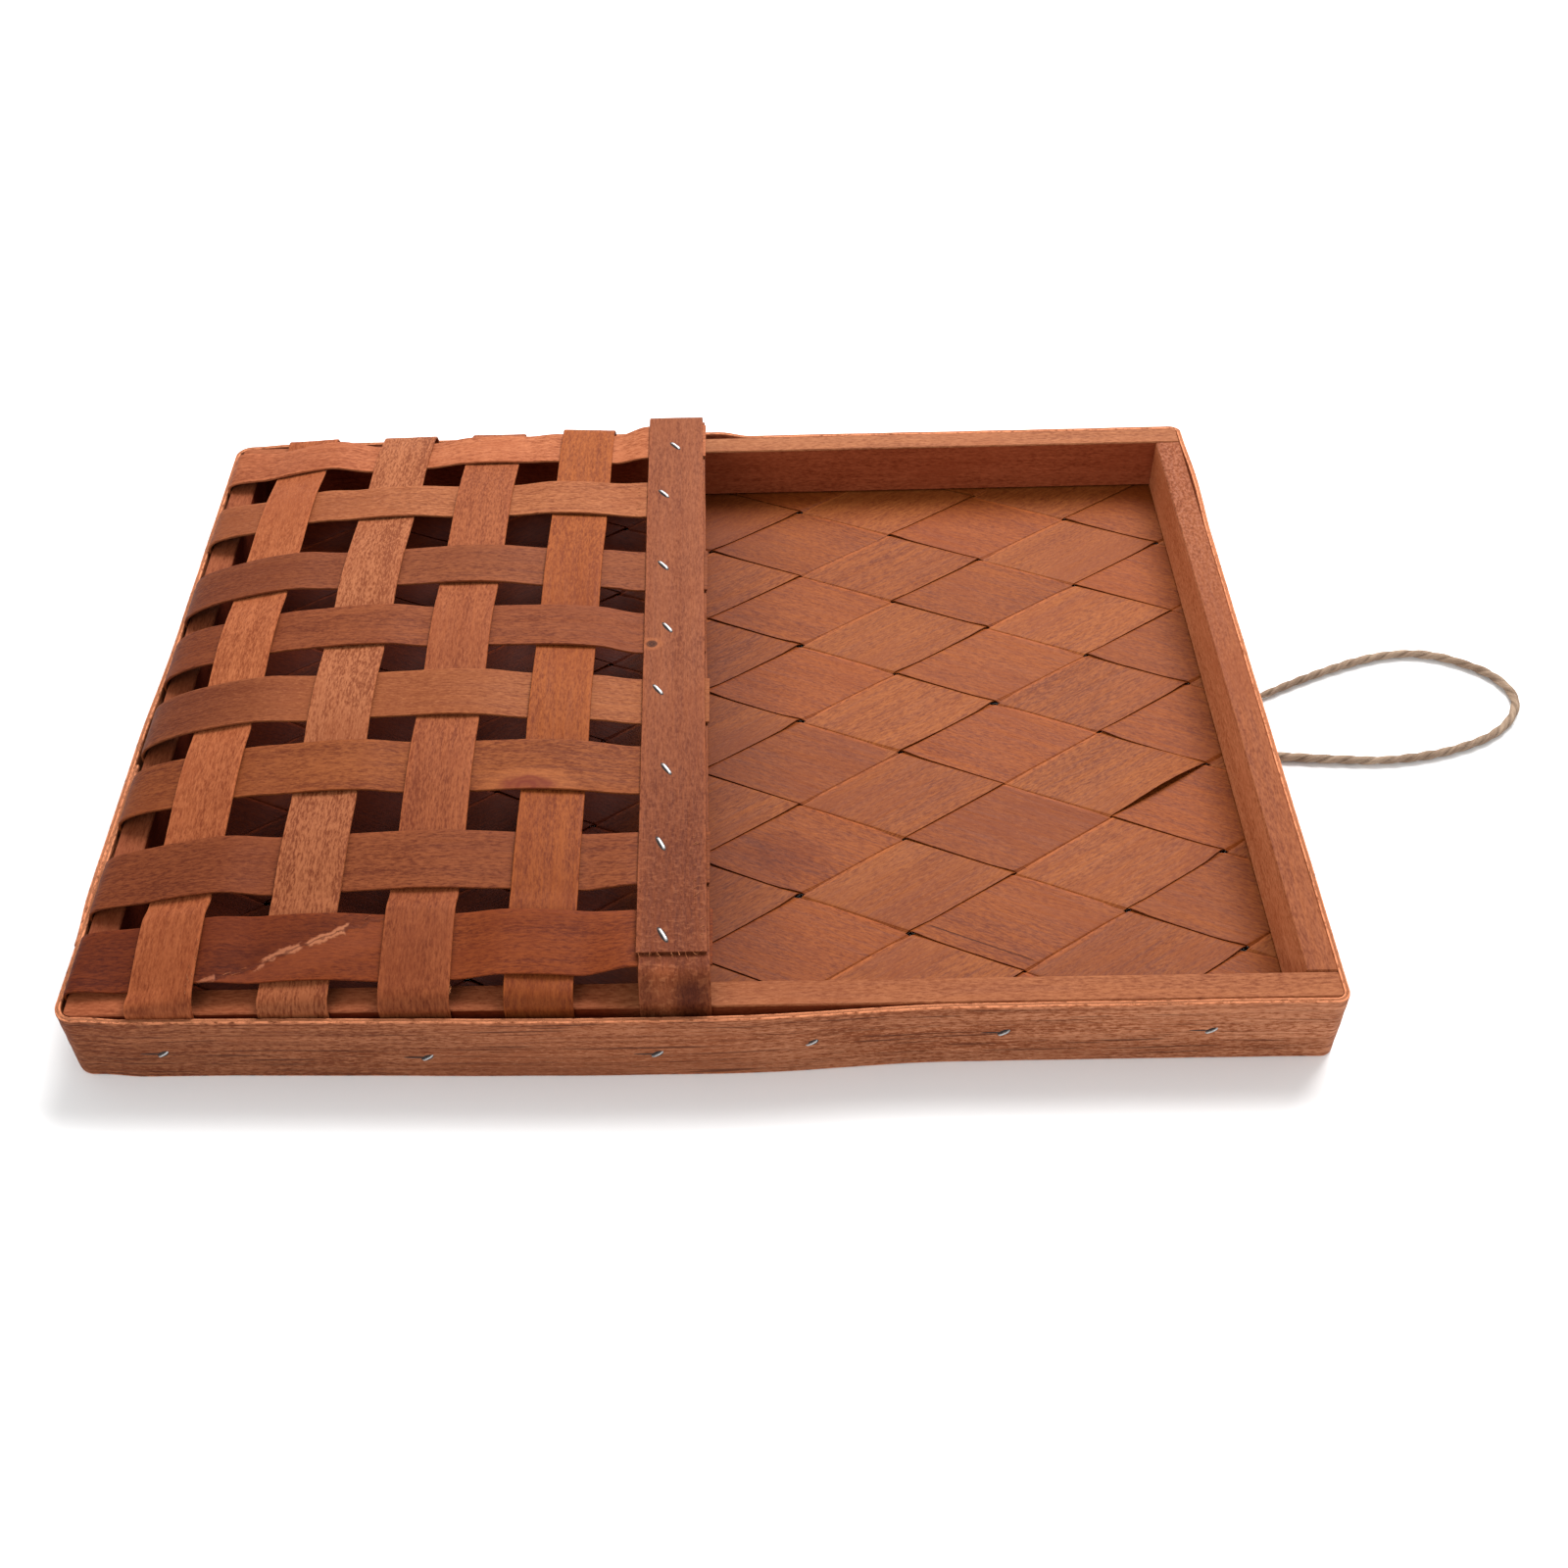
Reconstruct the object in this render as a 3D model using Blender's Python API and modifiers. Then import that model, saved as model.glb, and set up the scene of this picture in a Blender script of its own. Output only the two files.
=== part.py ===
"""Wall hanging basket: a shallow wooden tray with a pocket of woven splints at its lower end.

The tray lies on its back. X runs along it towards the twine loop, which is up when it hangs,
Y runs across it to the left side, and Z points away from the wall. All sizes are in metres.
"""
import math

import bmesh
import bpy
from mathutils import Matrix, Vector

# The tray: four rails with a thin band wrapped round them
TRAY_LENGTH = 0.400
TRAY_WIDTH = 0.303
BAND_HEIGHT = 0.0284
BAND_THICKNESS = 0.0012
LOWER_CORNER_RADIUS = 0.0062
UPPER_CORNER_RADIUS = 0.004
RAIL_WIDTH = 0.0097
RAIL_EDGE_BEVEL = 0.0004
SEAT_GAP = 0.0003
CUT_OVERRUN = 0.002

# The band's ends lap on the lower end, the outer one over the inner one
LAP_START_SHARE = -0.132
LAP_FINISH_SHARE = -0.400
LAP_RAMP_SHARE = 0.100
LAP_RAMP_END_SHARE = -0.112
BULGE_SLACK = 0.0010
RIGHT_BULGE_RUN = 0.080
LEFT_BULGE_RUN = 0.014
CORNER_STEPS = 5
BULGE_STEPS = 6
LAP_STEPS = 5

# The back: wide thin strips, plain woven on the slant, set in from the band's back edge
BACK_RECESS = 0.0047
BACK_STRIP_THICKNESS = 0.0006
BACK_STRIP_SPACING = 0.0012
RISING_RISE_SHARE = 0.904
FALLING_RISE_SHARE = -0.630
RISING_PITCH_SHARE = 0.1384
FALLING_PITCH_SHARE = 0.1430
BACK_CROSSING_SHARES = (0.185, 0.082)
CORNER_TIP_SHARE = 0.55

# The pocket: long splints along X, cross splints along Y
SPLINT_WIDTH = 0.022
SPLINT_THICKNESS = 0.0009
CROSSING_MARGIN = 0.0005
LONG_SPLINT_SHARES = (0.432, 0.302, 0.1535, 0.036, -0.084, -0.196, -0.328, -0.434)
LONG_WIDTH_SHARES = (1.0, 1.02, 1.05, 1.0, 1.02, 1.02, 1.02, 1.02)
LONG_TILTS = (0.0, 0.0, 0.0, 0.0, 0.0, 0.0, 0.02, 0.09)
CROSS_SPLINT_SHARES = (-0.4125, -0.309, -0.215, -0.119)
CROSS_WIDTH_SHARES = (0.96, 1.0, 1.0, 0.97)
POCKET_RISE = 0.0181
MIDDLE_RISE_SHARES = (0.78, 1.0, 1.0, 0.89)
LEFT_RISE_SHARES = (0.34, 0.42, 0.51, 0.55)
RIGHT_RISE_SHARES = (0.38, 0.46, 0.49, 0.50)
CROSS_TILTS = (0.20, 0.05, 0.0, -0.07)
SPLINT_TAIL_END_SHARE = 0.264
SHOULDER_LIFT = 0.0055
LONG_SHOULDER_REACH = 0.008
CROSS_SHOULDER_REACH = 0.0024
SHOULDER_STEPS = 5
RUN_STEPS = 3

# The rim: two strips that clamp the long splints at the pocket's mouth
RIM_X_SHARE = -0.022
RIM_SLANT = -0.0161
RIM_RISE = 0.0120
RIM_BEND = 0.0070
RIM_BEND_PULL_SHARE = 0.6
RIM_INNER_SHIFT = 0.0008
RIM_SEAM_SHARE = -0.460
LONG_END_INSET = 0.002

# The staples
STAPLE_CROWN = 0.0058
STAPLE_WIRE = 0.0008
STAPLE_TIP = 0.0017
STAPLE_BITE = 0.005
RIM_STAPLE_X_SHARES = (-0.07, -0.20, -0.20, -0.11, -0.25, -0.10, -0.17, -0.12)
RIM_STAPLE_Y_SHARES = (-0.24, 0.08, 0.08, 0.06, 0.20, -0.05, 0.22, -0.05)
RIM_STAPLE_TURNS = (-51, -52, -53, -57, -56, -59, -65, -63)
BAND_STAPLE_X_SHARES = (-0.418, -0.210, -0.030, 0.090, 0.239, 0.399)
BAND_STAPLE_Z_SHARES = (0.44, 0.37, 0.41, 0.52, 0.54, 0.52)
BAND_STAPLE_TURN = math.radians(35)
FLOOR_CLEARANCE = 0.0001

# The twine: a loop that hangs the basket, and its run behind the upper rail. The routes are
# measured from the middle of the tray's upper face, at the back
TWINE_DIAMETER = 0.0032
TWINE_POINT_PITCH = 0.0075
NOTCH_CLEARANCE = 0.0006
LOOP_ROUTE = (
    (0.0019, 0.0089, 0.0018), (0.0052, 0.0096, 0.0018), (0.0113, 0.0126, 0.0018),
    (0.0230, 0.0186, 0.0018), (0.0370, 0.0250, 0.0018), (0.0490, 0.0300, 0.0018),
    (0.0605, 0.0336, 0.0018), (0.0713, 0.0348, 0.0018), (0.0815, 0.0329, 0.0018),
    (0.0910, 0.0286, 0.0018), (0.0984, 0.0230, 0.0018), (0.1033, 0.0158, 0.0018),
    (0.1046, 0.0086, 0.0018), (0.1024, 0.0012, 0.0018), (0.0972, -0.0058, 0.0018),
    (0.0894, -0.0119, 0.0018), (0.0800, -0.0164, 0.0018), (0.0690, -0.0200, 0.0018),
    (0.0565, -0.0222, 0.0018), (0.0445, -0.0226, 0.0018), (0.0330, -0.0220, 0.0018),
    (0.0226, -0.0212, 0.0018), (0.0126, -0.0202, 0.0018), (0.0060, -0.0197, 0.0018),
    (0.0019, -0.0196, 0.0018),
)
BACK_ROUTE = (
    (0.0016, 0.0089, 0.0018), (-0.0006, 0.0089, 0.0019), (-0.0024, 0.0079, 0.0021),
    (-0.0044, 0.0055, 0.0024), (-0.0057, 0.0022, 0.0027), (-0.0061, -0.0014, 0.0028),
    (-0.0061, -0.0054, 0.0028), (-0.0061, -0.0094, 0.0028), (-0.0057, -0.0130, 0.0027),
    (-0.0044, -0.0163, 0.0024), (-0.0024, -0.0186, 0.0021), (-0.0006, -0.0196, 0.0019),
    (0.0016, -0.0196, 0.0018),
)

# Places that follow from the sizes above
BAND_INNER_Y = TRAY_WIDTH / 2 - BAND_THICKNESS
RAIL_OUTER_Y = BAND_INNER_Y - SEAT_GAP
RAIL_INNER_Y = RAIL_OUTER_Y - RAIL_WIDTH
UPPER_RAIL_OUTER_X = TRAY_LENGTH / 2 - BAND_THICKNESS - SEAT_GAP
UPPER_RAIL_INNER_X = UPPER_RAIL_OUTER_X - RAIL_WIDTH
LAP_STEP = BAND_THICKNESS + SEAT_GAP
LOWER_BAND_INNER_X = -(TRAY_LENGTH / 2 - BAND_THICKNESS - LAP_STEP)
LAYER_STEP = SPLINT_THICKNESS + SEAT_GAP
LOWER_RAIL_OUTER_X = LOWER_BAND_INNER_X + LAYER_STEP + SEAT_GAP
LOWER_RAIL_INNER_X = LOWER_RAIL_OUTER_X + RAIL_WIDTH
LOWER_SLOT_X = LOWER_RAIL_OUTER_X - SEAT_GAP - SPLINT_THICKNESS / 2
SIDE_SLOT_Y = RAIL_OUTER_Y + SEAT_GAP + SPLINT_THICKNESS / 2
BACK_MIDDLE = BACK_RECESS + BACK_STRIP_THICKNESS + SEAT_GAP / 2
BACK_SWING = (BACK_STRIP_THICKNESS + SEAT_GAP) / 2
RAIL_BASE = BACK_MIDDLE + BACK_SWING + BACK_STRIP_THICKNESS / 2 + SEAT_GAP
WEAVE_SWING = LAYER_STEP / 2
SPLINT_TAIL_END = SPLINT_TAIL_END_SHARE * BAND_HEIGHT
RIM_MIDDLE = BAND_HEIGHT + RIM_RISE
RIM_X = RIM_X_SHARE * TRAY_LENGTH
RIM_SEAM_Y = RIM_SEAM_SHARE * TRAY_WIDTH
LONG_Y = [share * TRAY_WIDTH for share in LONG_SPLINT_SHARES]
LONG_WIDTH = [share * SPLINT_WIDTH for share in LONG_WIDTH_SHARES]
CROSS_X = [share * TRAY_LENGTH for share in CROSS_SPLINT_SHARES]
CROSS_WIDTH = [share * SPLINT_WIDTH for share in CROSS_WIDTH_SHARES]
OUTERMOST_Y = max(abs(y) for y in LONG_Y)
STAPLE_REACH = (STAPLE_CROWN - STAPLE_WIRE) / 2
LEG_HOLE_RADIUS = STAPLE_WIRE / 2 + SEAT_GAP
UP = Vector((0, 0, 1))
OVER, UNDER = 1, -1

# Colours
RAIL_COLOUR = (0.40, 0.135, 0.055, 1)
BAND_COLOUR = (0.30, 0.100, 0.045, 1)
RISING_COLOUR = (0.42, 0.140, 0.056, 1)
FALLING_COLOUR = (0.40, 0.122, 0.046, 1)
LONG_COLOURS = (
    (0.38, 0.122, 0.052, 1), (0.44, 0.142, 0.064, 1), (0.34, 0.100, 0.043, 1), (0.37, 0.117, 0.048, 1),
    (0.32, 0.096, 0.041, 1), (0.39, 0.118, 0.050, 1), (0.33, 0.106, 0.046, 1), (0.25, 0.066, 0.028, 1),
)
CROSS_COLOURS = (
    (0.39, 0.110, 0.040, 1), (0.44, 0.145, 0.061, 1), (0.39, 0.128, 0.055, 1), (0.45, 0.125, 0.046, 1),
)
RIM_COLOUR = (0.36, 0.112, 0.051, 1)
STEEL_COLOUR = (0.62, 0.62, 0.64, 1)
TWINE_COLOUR = (0.54, 0.38, 0.27, 1)
WOOD_ROUGHNESS = 0.72
STEEL_ROUGHNESS = 0.35
TWINE_ROUGHNESS = 0.95


def clear_scene():
    for thing in list(bpy.data.objects):
        bpy.data.objects.remove(thing, do_unlink=True)
    for group in list(bpy.data.collections):
        bpy.data.collections.remove(group)


def make_collection(name):
    group = bpy.data.collections.new(name)
    bpy.context.scene.collection.children.link(group)
    return group


def make_material(name, colour, roughness, metallic=0.0):
    material = bpy.data.materials.new(name)
    material.use_nodes = True
    shader = material.node_tree.nodes["Principled BSDF"]
    shader.inputs["Base Color"].default_value = colour
    shader.inputs["Roughness"].default_value = roughness
    shader.inputs["Metallic"].default_value = metallic
    return material


def wood(name, colour):
    return make_material(f"{name}_wood", colour, WOOD_ROUGHNESS)


def add_piece(name, data, material):
    piece = bpy.data.objects.new(name, data)
    data.materials.append(material)
    bpy.data.collections["wall_hanging_basket"].objects.link(piece)
    return piece


def add_cutter(name, mesh):
    cutter = bpy.data.objects.new(name, mesh)
    cutter.hide_render = True
    cutter.display_type = "WIRE"
    bpy.data.collections["cutters"].objects.link(cutter)
    return cutter


def cut(piece, cutter, operation="DIFFERENCE"):
    modifier = piece.modifiers.new(cutter.name, "BOOLEAN")
    modifier.operation = operation
    modifier.solver = "EXACT"
    modifier.object = cutter


def box_mesh(name, low, high):
    """A box between two corners."""
    low, high = Vector(low), Vector(high)
    mesh = bpy.data.meshes.new(name)
    shape = bmesh.new()
    bmesh.ops.create_cube(shape, size=1)
    size = high - low
    bmesh.ops.scale(shape, verts=shape.verts, vec=size)
    bmesh.ops.translate(shape, verts=shape.verts, vec=(low + high) / 2)
    shape.to_mesh(mesh)
    shape.free()
    return mesh


def strip_mesh(name, stations):
    """An open strip: a flat grid laid through pairs of points, one pair for each station."""
    mesh = bpy.data.meshes.new(name)
    shape = bmesh.new()
    runs = len(stations) - 1
    bmesh.ops.create_grid(shape, x_segments=runs, y_segments=1, size=1)
    for corner in shape.verts:
        station = round((corner.co.x + 1) / 2 * runs)
        side = 1 if corner.co.y > 0 else 0
        corner.co = stations[station][side]
    shape.to_mesh(mesh)
    shape.free()
    return mesh


def lay_strip(name, stations, thickness, material):
    """A strip of wood of even thickness, centred on the surface through the stations."""
    strip = add_piece(name, strip_mesh(name, stations), material)
    solid = strip.modifiers.new("thickness", "SOLIDIFY")
    solid.thickness = thickness
    solid.offset = 0
    solid.use_even_offset = True
    return strip


def wire_curve(name, points, radius, rings, material):
    curve = bpy.data.curves.new(name, "CURVE")
    curve.dimensions = "3D"
    curve.bevel_depth = radius
    curve.bevel_resolution = rings
    curve.use_fill_caps = True
    spline = curve.splines.new("POLY")
    spline.points.add(len(points) - 1)
    for point, place in zip(spline.points, points):
        point.co = (*place, 1)
    return add_piece(name, curve, material)


def smooth_route(route, pitch):
    """Points about one pitch apart on a smooth curve through the route's own points."""
    knots = [Vector(point) for point in route]
    knots = [2 * knots[0] - knots[1], *knots, 2 * knots[-1] - knots[-2]]
    fine = []
    for a, b, c, d in zip(knots, knots[1:], knots[2:], knots[3:]):
        pieces = max(1, round((c - b).length / pitch))
        for step in range(pieces):
            t = step / pieces
            fine.append(
                ((2 * b) + (c - a) * t + (2 * a - 5 * b + 4 * c - d) * t**2
                 + (3 * b - a - 3 * c + d) * t**3) / 2
            )
    fine.append(knots[-2])
    return fine


def eased(share):
    share = min(1, max(0, share))
    return (1 - math.cos(math.pi * share)) / 2


# The band and the space inside it

def rim_centre_x(y):
    return RIM_X + RIM_SLANT * y


def band_bulge(x, run):
    """How far the band stands off a side rail, pushed out by the ends of splints and rim."""
    splints_off = LAYER_STEP
    rim_off = 2 * LAYER_STEP + BULGE_SLACK
    corner_end = LOWER_BAND_INNER_X + LOWER_CORNER_RADIUS
    first_splint = CROSS_X[0] - CROSS_WIDTH[0] / 2 - CROSSING_MARGIN
    rim_low = rim_centre_x(SIDE_SLOT_Y) - SPLINT_WIDTH / 2 - CROSSING_MARGIN
    rim_high = rim_centre_x(-SIDE_SLOT_Y) + SPLINT_WIDTH / 2 + RIM_INNER_SHIFT + CROSSING_MARGIN
    if x < first_splint:
        return splints_off * eased((x - corner_end) / (first_splint - corner_end))
    if x < rim_low:
        return splints_off + (rim_off - splints_off) * eased((x - first_splint) / (rim_low - first_splint))
    return rim_off * (1 - eased((x - rim_high) / run))


def bulge_places(run):
    """Places along X where the band's outline needs a point, from the lower to the upper corner."""
    first_splint = CROSS_X[0] - CROSS_WIDTH[0] / 2 - CROSSING_MARGIN
    corner_end = LOWER_BAND_INNER_X + LOWER_CORNER_RADIUS
    rim_low = rim_centre_x(SIDE_SLOT_Y) - SPLINT_WIDTH / 2 - CROSSING_MARGIN
    rim_high = rim_centre_x(-SIDE_SLOT_Y) + SPLINT_WIDTH / 2 + RIM_INNER_SHIFT + CROSSING_MARGIN
    places = []
    for start, end in ((corner_end, first_splint), (first_splint, rim_low), (rim_high, rim_high + run)):
        places += [start + (end - start) * step / BULGE_STEPS for step in range(BULGE_STEPS + 1)]
    return sorted(set(places))


def arc(centre, radius, start, end):
    """Points on a quarter of a circle, from one angle in degrees to another."""
    points = []
    for step in range(CORNER_STEPS + 1):
        angle = math.radians(start + (end - start) * step / CORNER_STEPS)
        points.append((centre[0] + radius * math.cos(angle), centre[1] + radius * math.sin(angle)))
    return points


def band_path():
    """Middle line of the band, from its inner end on the lower side, round to its outer end."""
    half = BAND_THICKNESS / 2
    side_y = TRAY_WIDTH / 2 - half
    lower_x = LOWER_BAND_INNER_X - half
    upper_x = TRAY_LENGTH / 2 - half
    lower_r, upper_r = LOWER_CORNER_RADIUS - half, UPPER_CORNER_RADIUS - half
    right, left = RIGHT_BULGE_RUN, LEFT_BULGE_RUN
    path = [(lower_x, LAP_START_SHARE * TRAY_WIDTH)]
    path += arc((lower_x + lower_r, -side_y + lower_r), lower_r, 180, 270)
    path += [(x, -side_y - band_bulge(x, right)) for x in bulge_places(right)]
    path += arc((upper_x - upper_r, -side_y + upper_r), upper_r, 270, 360)
    path += arc((upper_x - upper_r, side_y - upper_r), upper_r, 0, 90)
    path += [(x, side_y + band_bulge(x, left)) for x in reversed(bulge_places(left))]
    path += arc((lower_x + lower_r, side_y - lower_r), lower_r, 90, 180)
    ramp_start, ramp_end = LAP_RAMP_SHARE * TRAY_WIDTH, LAP_RAMP_END_SHARE * TRAY_WIDTH
    for step in range(LAP_STEPS + 1):
        share = step / LAP_STEPS
        path.append((lower_x - LAP_STEP * eased(share), ramp_start + (ramp_end - ramp_start) * share))
    path.append((lower_x - LAP_STEP, LAP_FINISH_SHARE * TRAY_WIDTH))
    return path


def make_edge_band(cutters):
    stations = [(Vector((x, y, 0)), Vector((x, y, BAND_HEIGHT))) for x, y in band_path()]
    band = lay_strip("edge_band", stations, BAND_THICKNESS, wood("edge_band", BAND_COLOUR))
    for cutter in cutters:
        cut(band, cutter)


def make_inner_space():
    """A block that fills the space inside the band, with the band's round corners."""
    low_x = LOWER_BAND_INNER_X + SEAT_GAP
    low_r = LOWER_CORNER_RADIUS - BAND_THICKNESS - SEAT_GAP
    high_r = UPPER_CORNER_RADIUS - BAND_THICKNESS - SEAT_GAP
    y = RAIL_OUTER_Y
    outline = arc((low_x + low_r, -y + low_r), low_r, 180, 270)
    outline += arc((UPPER_RAIL_OUTER_X - high_r, -y + high_r), high_r, 270, 360)
    outline += arc((UPPER_RAIL_OUTER_X - high_r, y - high_r), high_r, 0, 90)
    outline += arc((low_x + low_r, y - low_r), low_r, 90, 180)
    mesh = bpy.data.meshes.new("inner_space")
    shape = bmesh.new()
    floor = shape.faces.new([shape.verts.new((px, py, -CUT_OVERRUN)) for px, py in outline])
    floor.normal_flip()
    risen = bmesh.ops.extrude_face_region(shape, geom=[floor])["geom"]
    risen = [part for part in risen if isinstance(part, bmesh.types.BMVert)]
    bmesh.ops.translate(shape, verts=risen, vec=(0, 0, BAND_HEIGHT + 2 * CUT_OVERRUN))
    bmesh.ops.recalc_face_normals(shape, faces=shape.faces)
    shape.to_mesh(mesh)
    shape.free()
    return add_cutter("inner_space", mesh)


# The rails

def make_rail(name, low, high, inner_space, cutters=()):
    rail = add_piece(name, box_mesh(name, low, high), wood(name, RAIL_COLOUR))
    edges = rail.modifiers.new("edges", "BEVEL")
    edges.width = RAIL_EDGE_BEVEL
    edges.segments = 1
    if inner_space:
        cut(rail, inner_space, "INTERSECT")
    for cutter in cutters:
        cut(rail, cutter)


def make_rails(inner_space, band_legs, twine_legs):
    between = RAIL_INNER_Y - SEAT_GAP
    make_rail(
        "right_rail", (LOWER_RAIL_OUTER_X, -RAIL_OUTER_Y, RAIL_BASE),
        (UPPER_RAIL_OUTER_X, -RAIL_INNER_Y, BAND_HEIGHT), inner_space, [band_legs],
    )
    make_rail(
        "left_rail", (LOWER_RAIL_OUTER_X, RAIL_INNER_Y, RAIL_BASE),
        (UPPER_RAIL_OUTER_X, RAIL_OUTER_Y, BAND_HEIGHT), inner_space,
    )
    make_rail(
        "top_rail", (UPPER_RAIL_INNER_X, -between, RAIL_BASE),
        (UPPER_RAIL_OUTER_X, between, BAND_HEIGHT), None, [twine_legs],
    )
    make_rail(
        "bottom_rail", (LOWER_RAIL_OUTER_X, -between, RAIL_BASE),
        (LOWER_RAIL_INNER_X, between, BAND_HEIGHT), None,
    )


# The woven back

class StripFamily:
    """Parallel strips of the back: their slant, pitch, and the line that the first one starts at.

    The rise is the share of the tray's width that a strip climbs over the tray's length.
    """

    def __init__(self, name, rise_share, pitch_share, colour):
        angle = math.atan2(rise_share * TRAY_WIDTH, TRAY_LENGTH)
        self.name = name
        self.across = Vector((-math.sin(angle), math.cos(angle), 0))
        self.pitch = pitch_share * TRAY_WIDTH * math.cos(angle)
        self.colour = colour
        crossing = Vector((BACK_CROSSING_SHARES[0] * TRAY_LENGTH, BACK_CROSSING_SHARES[1] * TRAY_WIDTH, 0))
        self.start = self.across.dot(crossing)

    def edges(self, number):
        """The strip's two edges, measured across the family."""
        low = self.start + number * self.pitch
        return low + BACK_STRIP_SPACING / 2, low + self.pitch - BACK_STRIP_SPACING / 2

    def numbers(self):
        """The strips that are more than a corner tip, which the rails would hide."""
        reach = abs(self.across.x) * TRAY_LENGTH / 2 + abs(self.across.y) * TRAY_WIDTH / 2
        low, high = (-reach - self.start) / self.pitch, (reach - self.start) / self.pitch
        return [
            number for number in range(math.floor(low), math.ceil(high))
            if min(number + 1, high) - max(number, low) > CORNER_TIP_SHARE
        ]


def meeting_point(family, offset, other, other_offset):
    """Where a line of one family crosses a line of the other."""
    a, b = family.across, other.across
    area = a.x * b.y - a.y * b.x
    x = (offset * b.y - other_offset * a.y) / area
    y = (other_offset * a.x - offset * b.x) / area
    return Vector((x, y, 0))


def make_back_strips(family, other, first_over, inner_space, twine_legs, leg_places):
    shown = other.numbers()
    crossed = range(shown[0] - 1, shown[-1] + 2)
    material = wood(family.name, family.colour)
    for count, number in enumerate(family.numbers(), start=1):
        sides = family.edges(number)
        stations = []
        for other_number in crossed:
            lifted = (number + other_number) % 2 == 0
            swing = BACK_SWING if lifted == first_over else -BACK_SWING
            height = BACK_MIDDLE + swing
            for offset in other.edges(other_number):
                stations.append([
                    meeting_point(family, side, other, offset) + height * UP for side in sides
                ])
        strip = lay_strip(f"{family.name}_{count}", stations, BACK_STRIP_THICKNESS, material)
        cut(strip, inner_space, "INTERSECT")
        room = LEG_HOLE_RADIUS + SEAT_GAP
        if any(sides[0] - room < family.across.dot(place) < sides[1] + room for place in leg_places):
            cut(strip, twine_legs)


def make_back(inner_space, twine_legs, leg_places):
    rising = StripFamily("back_strip_rising", RISING_RISE_SHARE, RISING_PITCH_SHARE, RISING_COLOUR)
    falling = StripFamily("back_strip_falling", FALLING_RISE_SHARE, FALLING_PITCH_SHARE, FALLING_COLOUR)
    make_back_strips(rising, falling, True, inner_space, twine_legs, leg_places)
    make_back_strips(falling, rising, False, inner_space, twine_legs, leg_places)


# The pocket's weave: a station is (place along the splint, height of one edge, height of the other)

def smooth_run(leave, leave_slope, enter, enter_slope):
    """Stations between two flat crossings, leaving and entering at the crossings' slopes."""
    span = enter[0] - leave[0]
    stations = []
    for step in range(1, RUN_STEPS):
        t = step / RUN_STEPS
        heights = [
            (2 * t**3 - 3 * t**2 + 1) * a + (t**3 - 2 * t**2 + t) * span * leave_slope
            + (3 * t**2 - 2 * t**3) * b + (t**3 - t**2) * span * enter_slope
            for a, b in zip(leave[1:], enter[1:])
        ]
        stations.append((leave[0] + span * t, *heights))
    return stations


def shoulder(slot, crossing, slope, lift, reach):
    """Stations from a splint's tail in its slot, up and over the rail, to its first crossing."""
    toward = math.copysign(reach, slot - crossing[0])
    places = (slot, slot, crossing[0] + toward, crossing[0])
    stations = [(slot, SPLINT_TAIL_END, SPLINT_TAIL_END)]
    for step in range(SHOULDER_STEPS):
        t = step / SHOULDER_STEPS
        blend = ((1 - t)**3, 3 * t * (1 - t)**2, 3 * t**2 * (1 - t), t**3)
        place = sum(weight * value for weight, value in zip(blend, places))
        heights = []
        for edge in crossing[1:]:
            rises = (BAND_HEIGHT, BAND_HEIGHT + lift, edge + slope * toward, edge)
            heights.append(sum(weight * value for weight, value in zip(blend, rises)))
        stations.append((place, *heights))
    return stations


def outer_share(y, column):
    return (LEFT_RISE_SHARES if y > 0 else RIGHT_RISE_SHARES)[column]


def pocket_height(y, column):
    """Height of the weave's middle surface at one cross splint."""
    outer, middle = outer_share(y, column), MIDDLE_RISE_SHARES[column]
    return BAND_HEIGHT + POCKET_RISE * (middle - (middle - outer) * (y / OUTERMOST_Y)**2)


def side_slope(row, column):
    """Slope across the tray of the flat patch where a long and a cross splint meet."""
    fall = MIDDLE_RISE_SHARES[column] - outer_share(LONG_Y[row], column)
    return LONG_TILTS[row] - 2 * POCKET_RISE * fall * LONG_Y[row] / OUTERMOST_Y**2


def crossing_height(row, column, x, y, swing):
    """Height on the flat patch where a long and a cross splint meet."""
    middle = pocket_height(LONG_Y[row], column)
    tilt = CROSS_TILTS[column] * (x - CROSS_X[column])
    return middle + tilt + side_slope(row, column) * (y - LONG_Y[row]) + swing * WEAVE_SWING


def long_is_over(row, column):
    return (row + column) % 2 == 0


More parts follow.
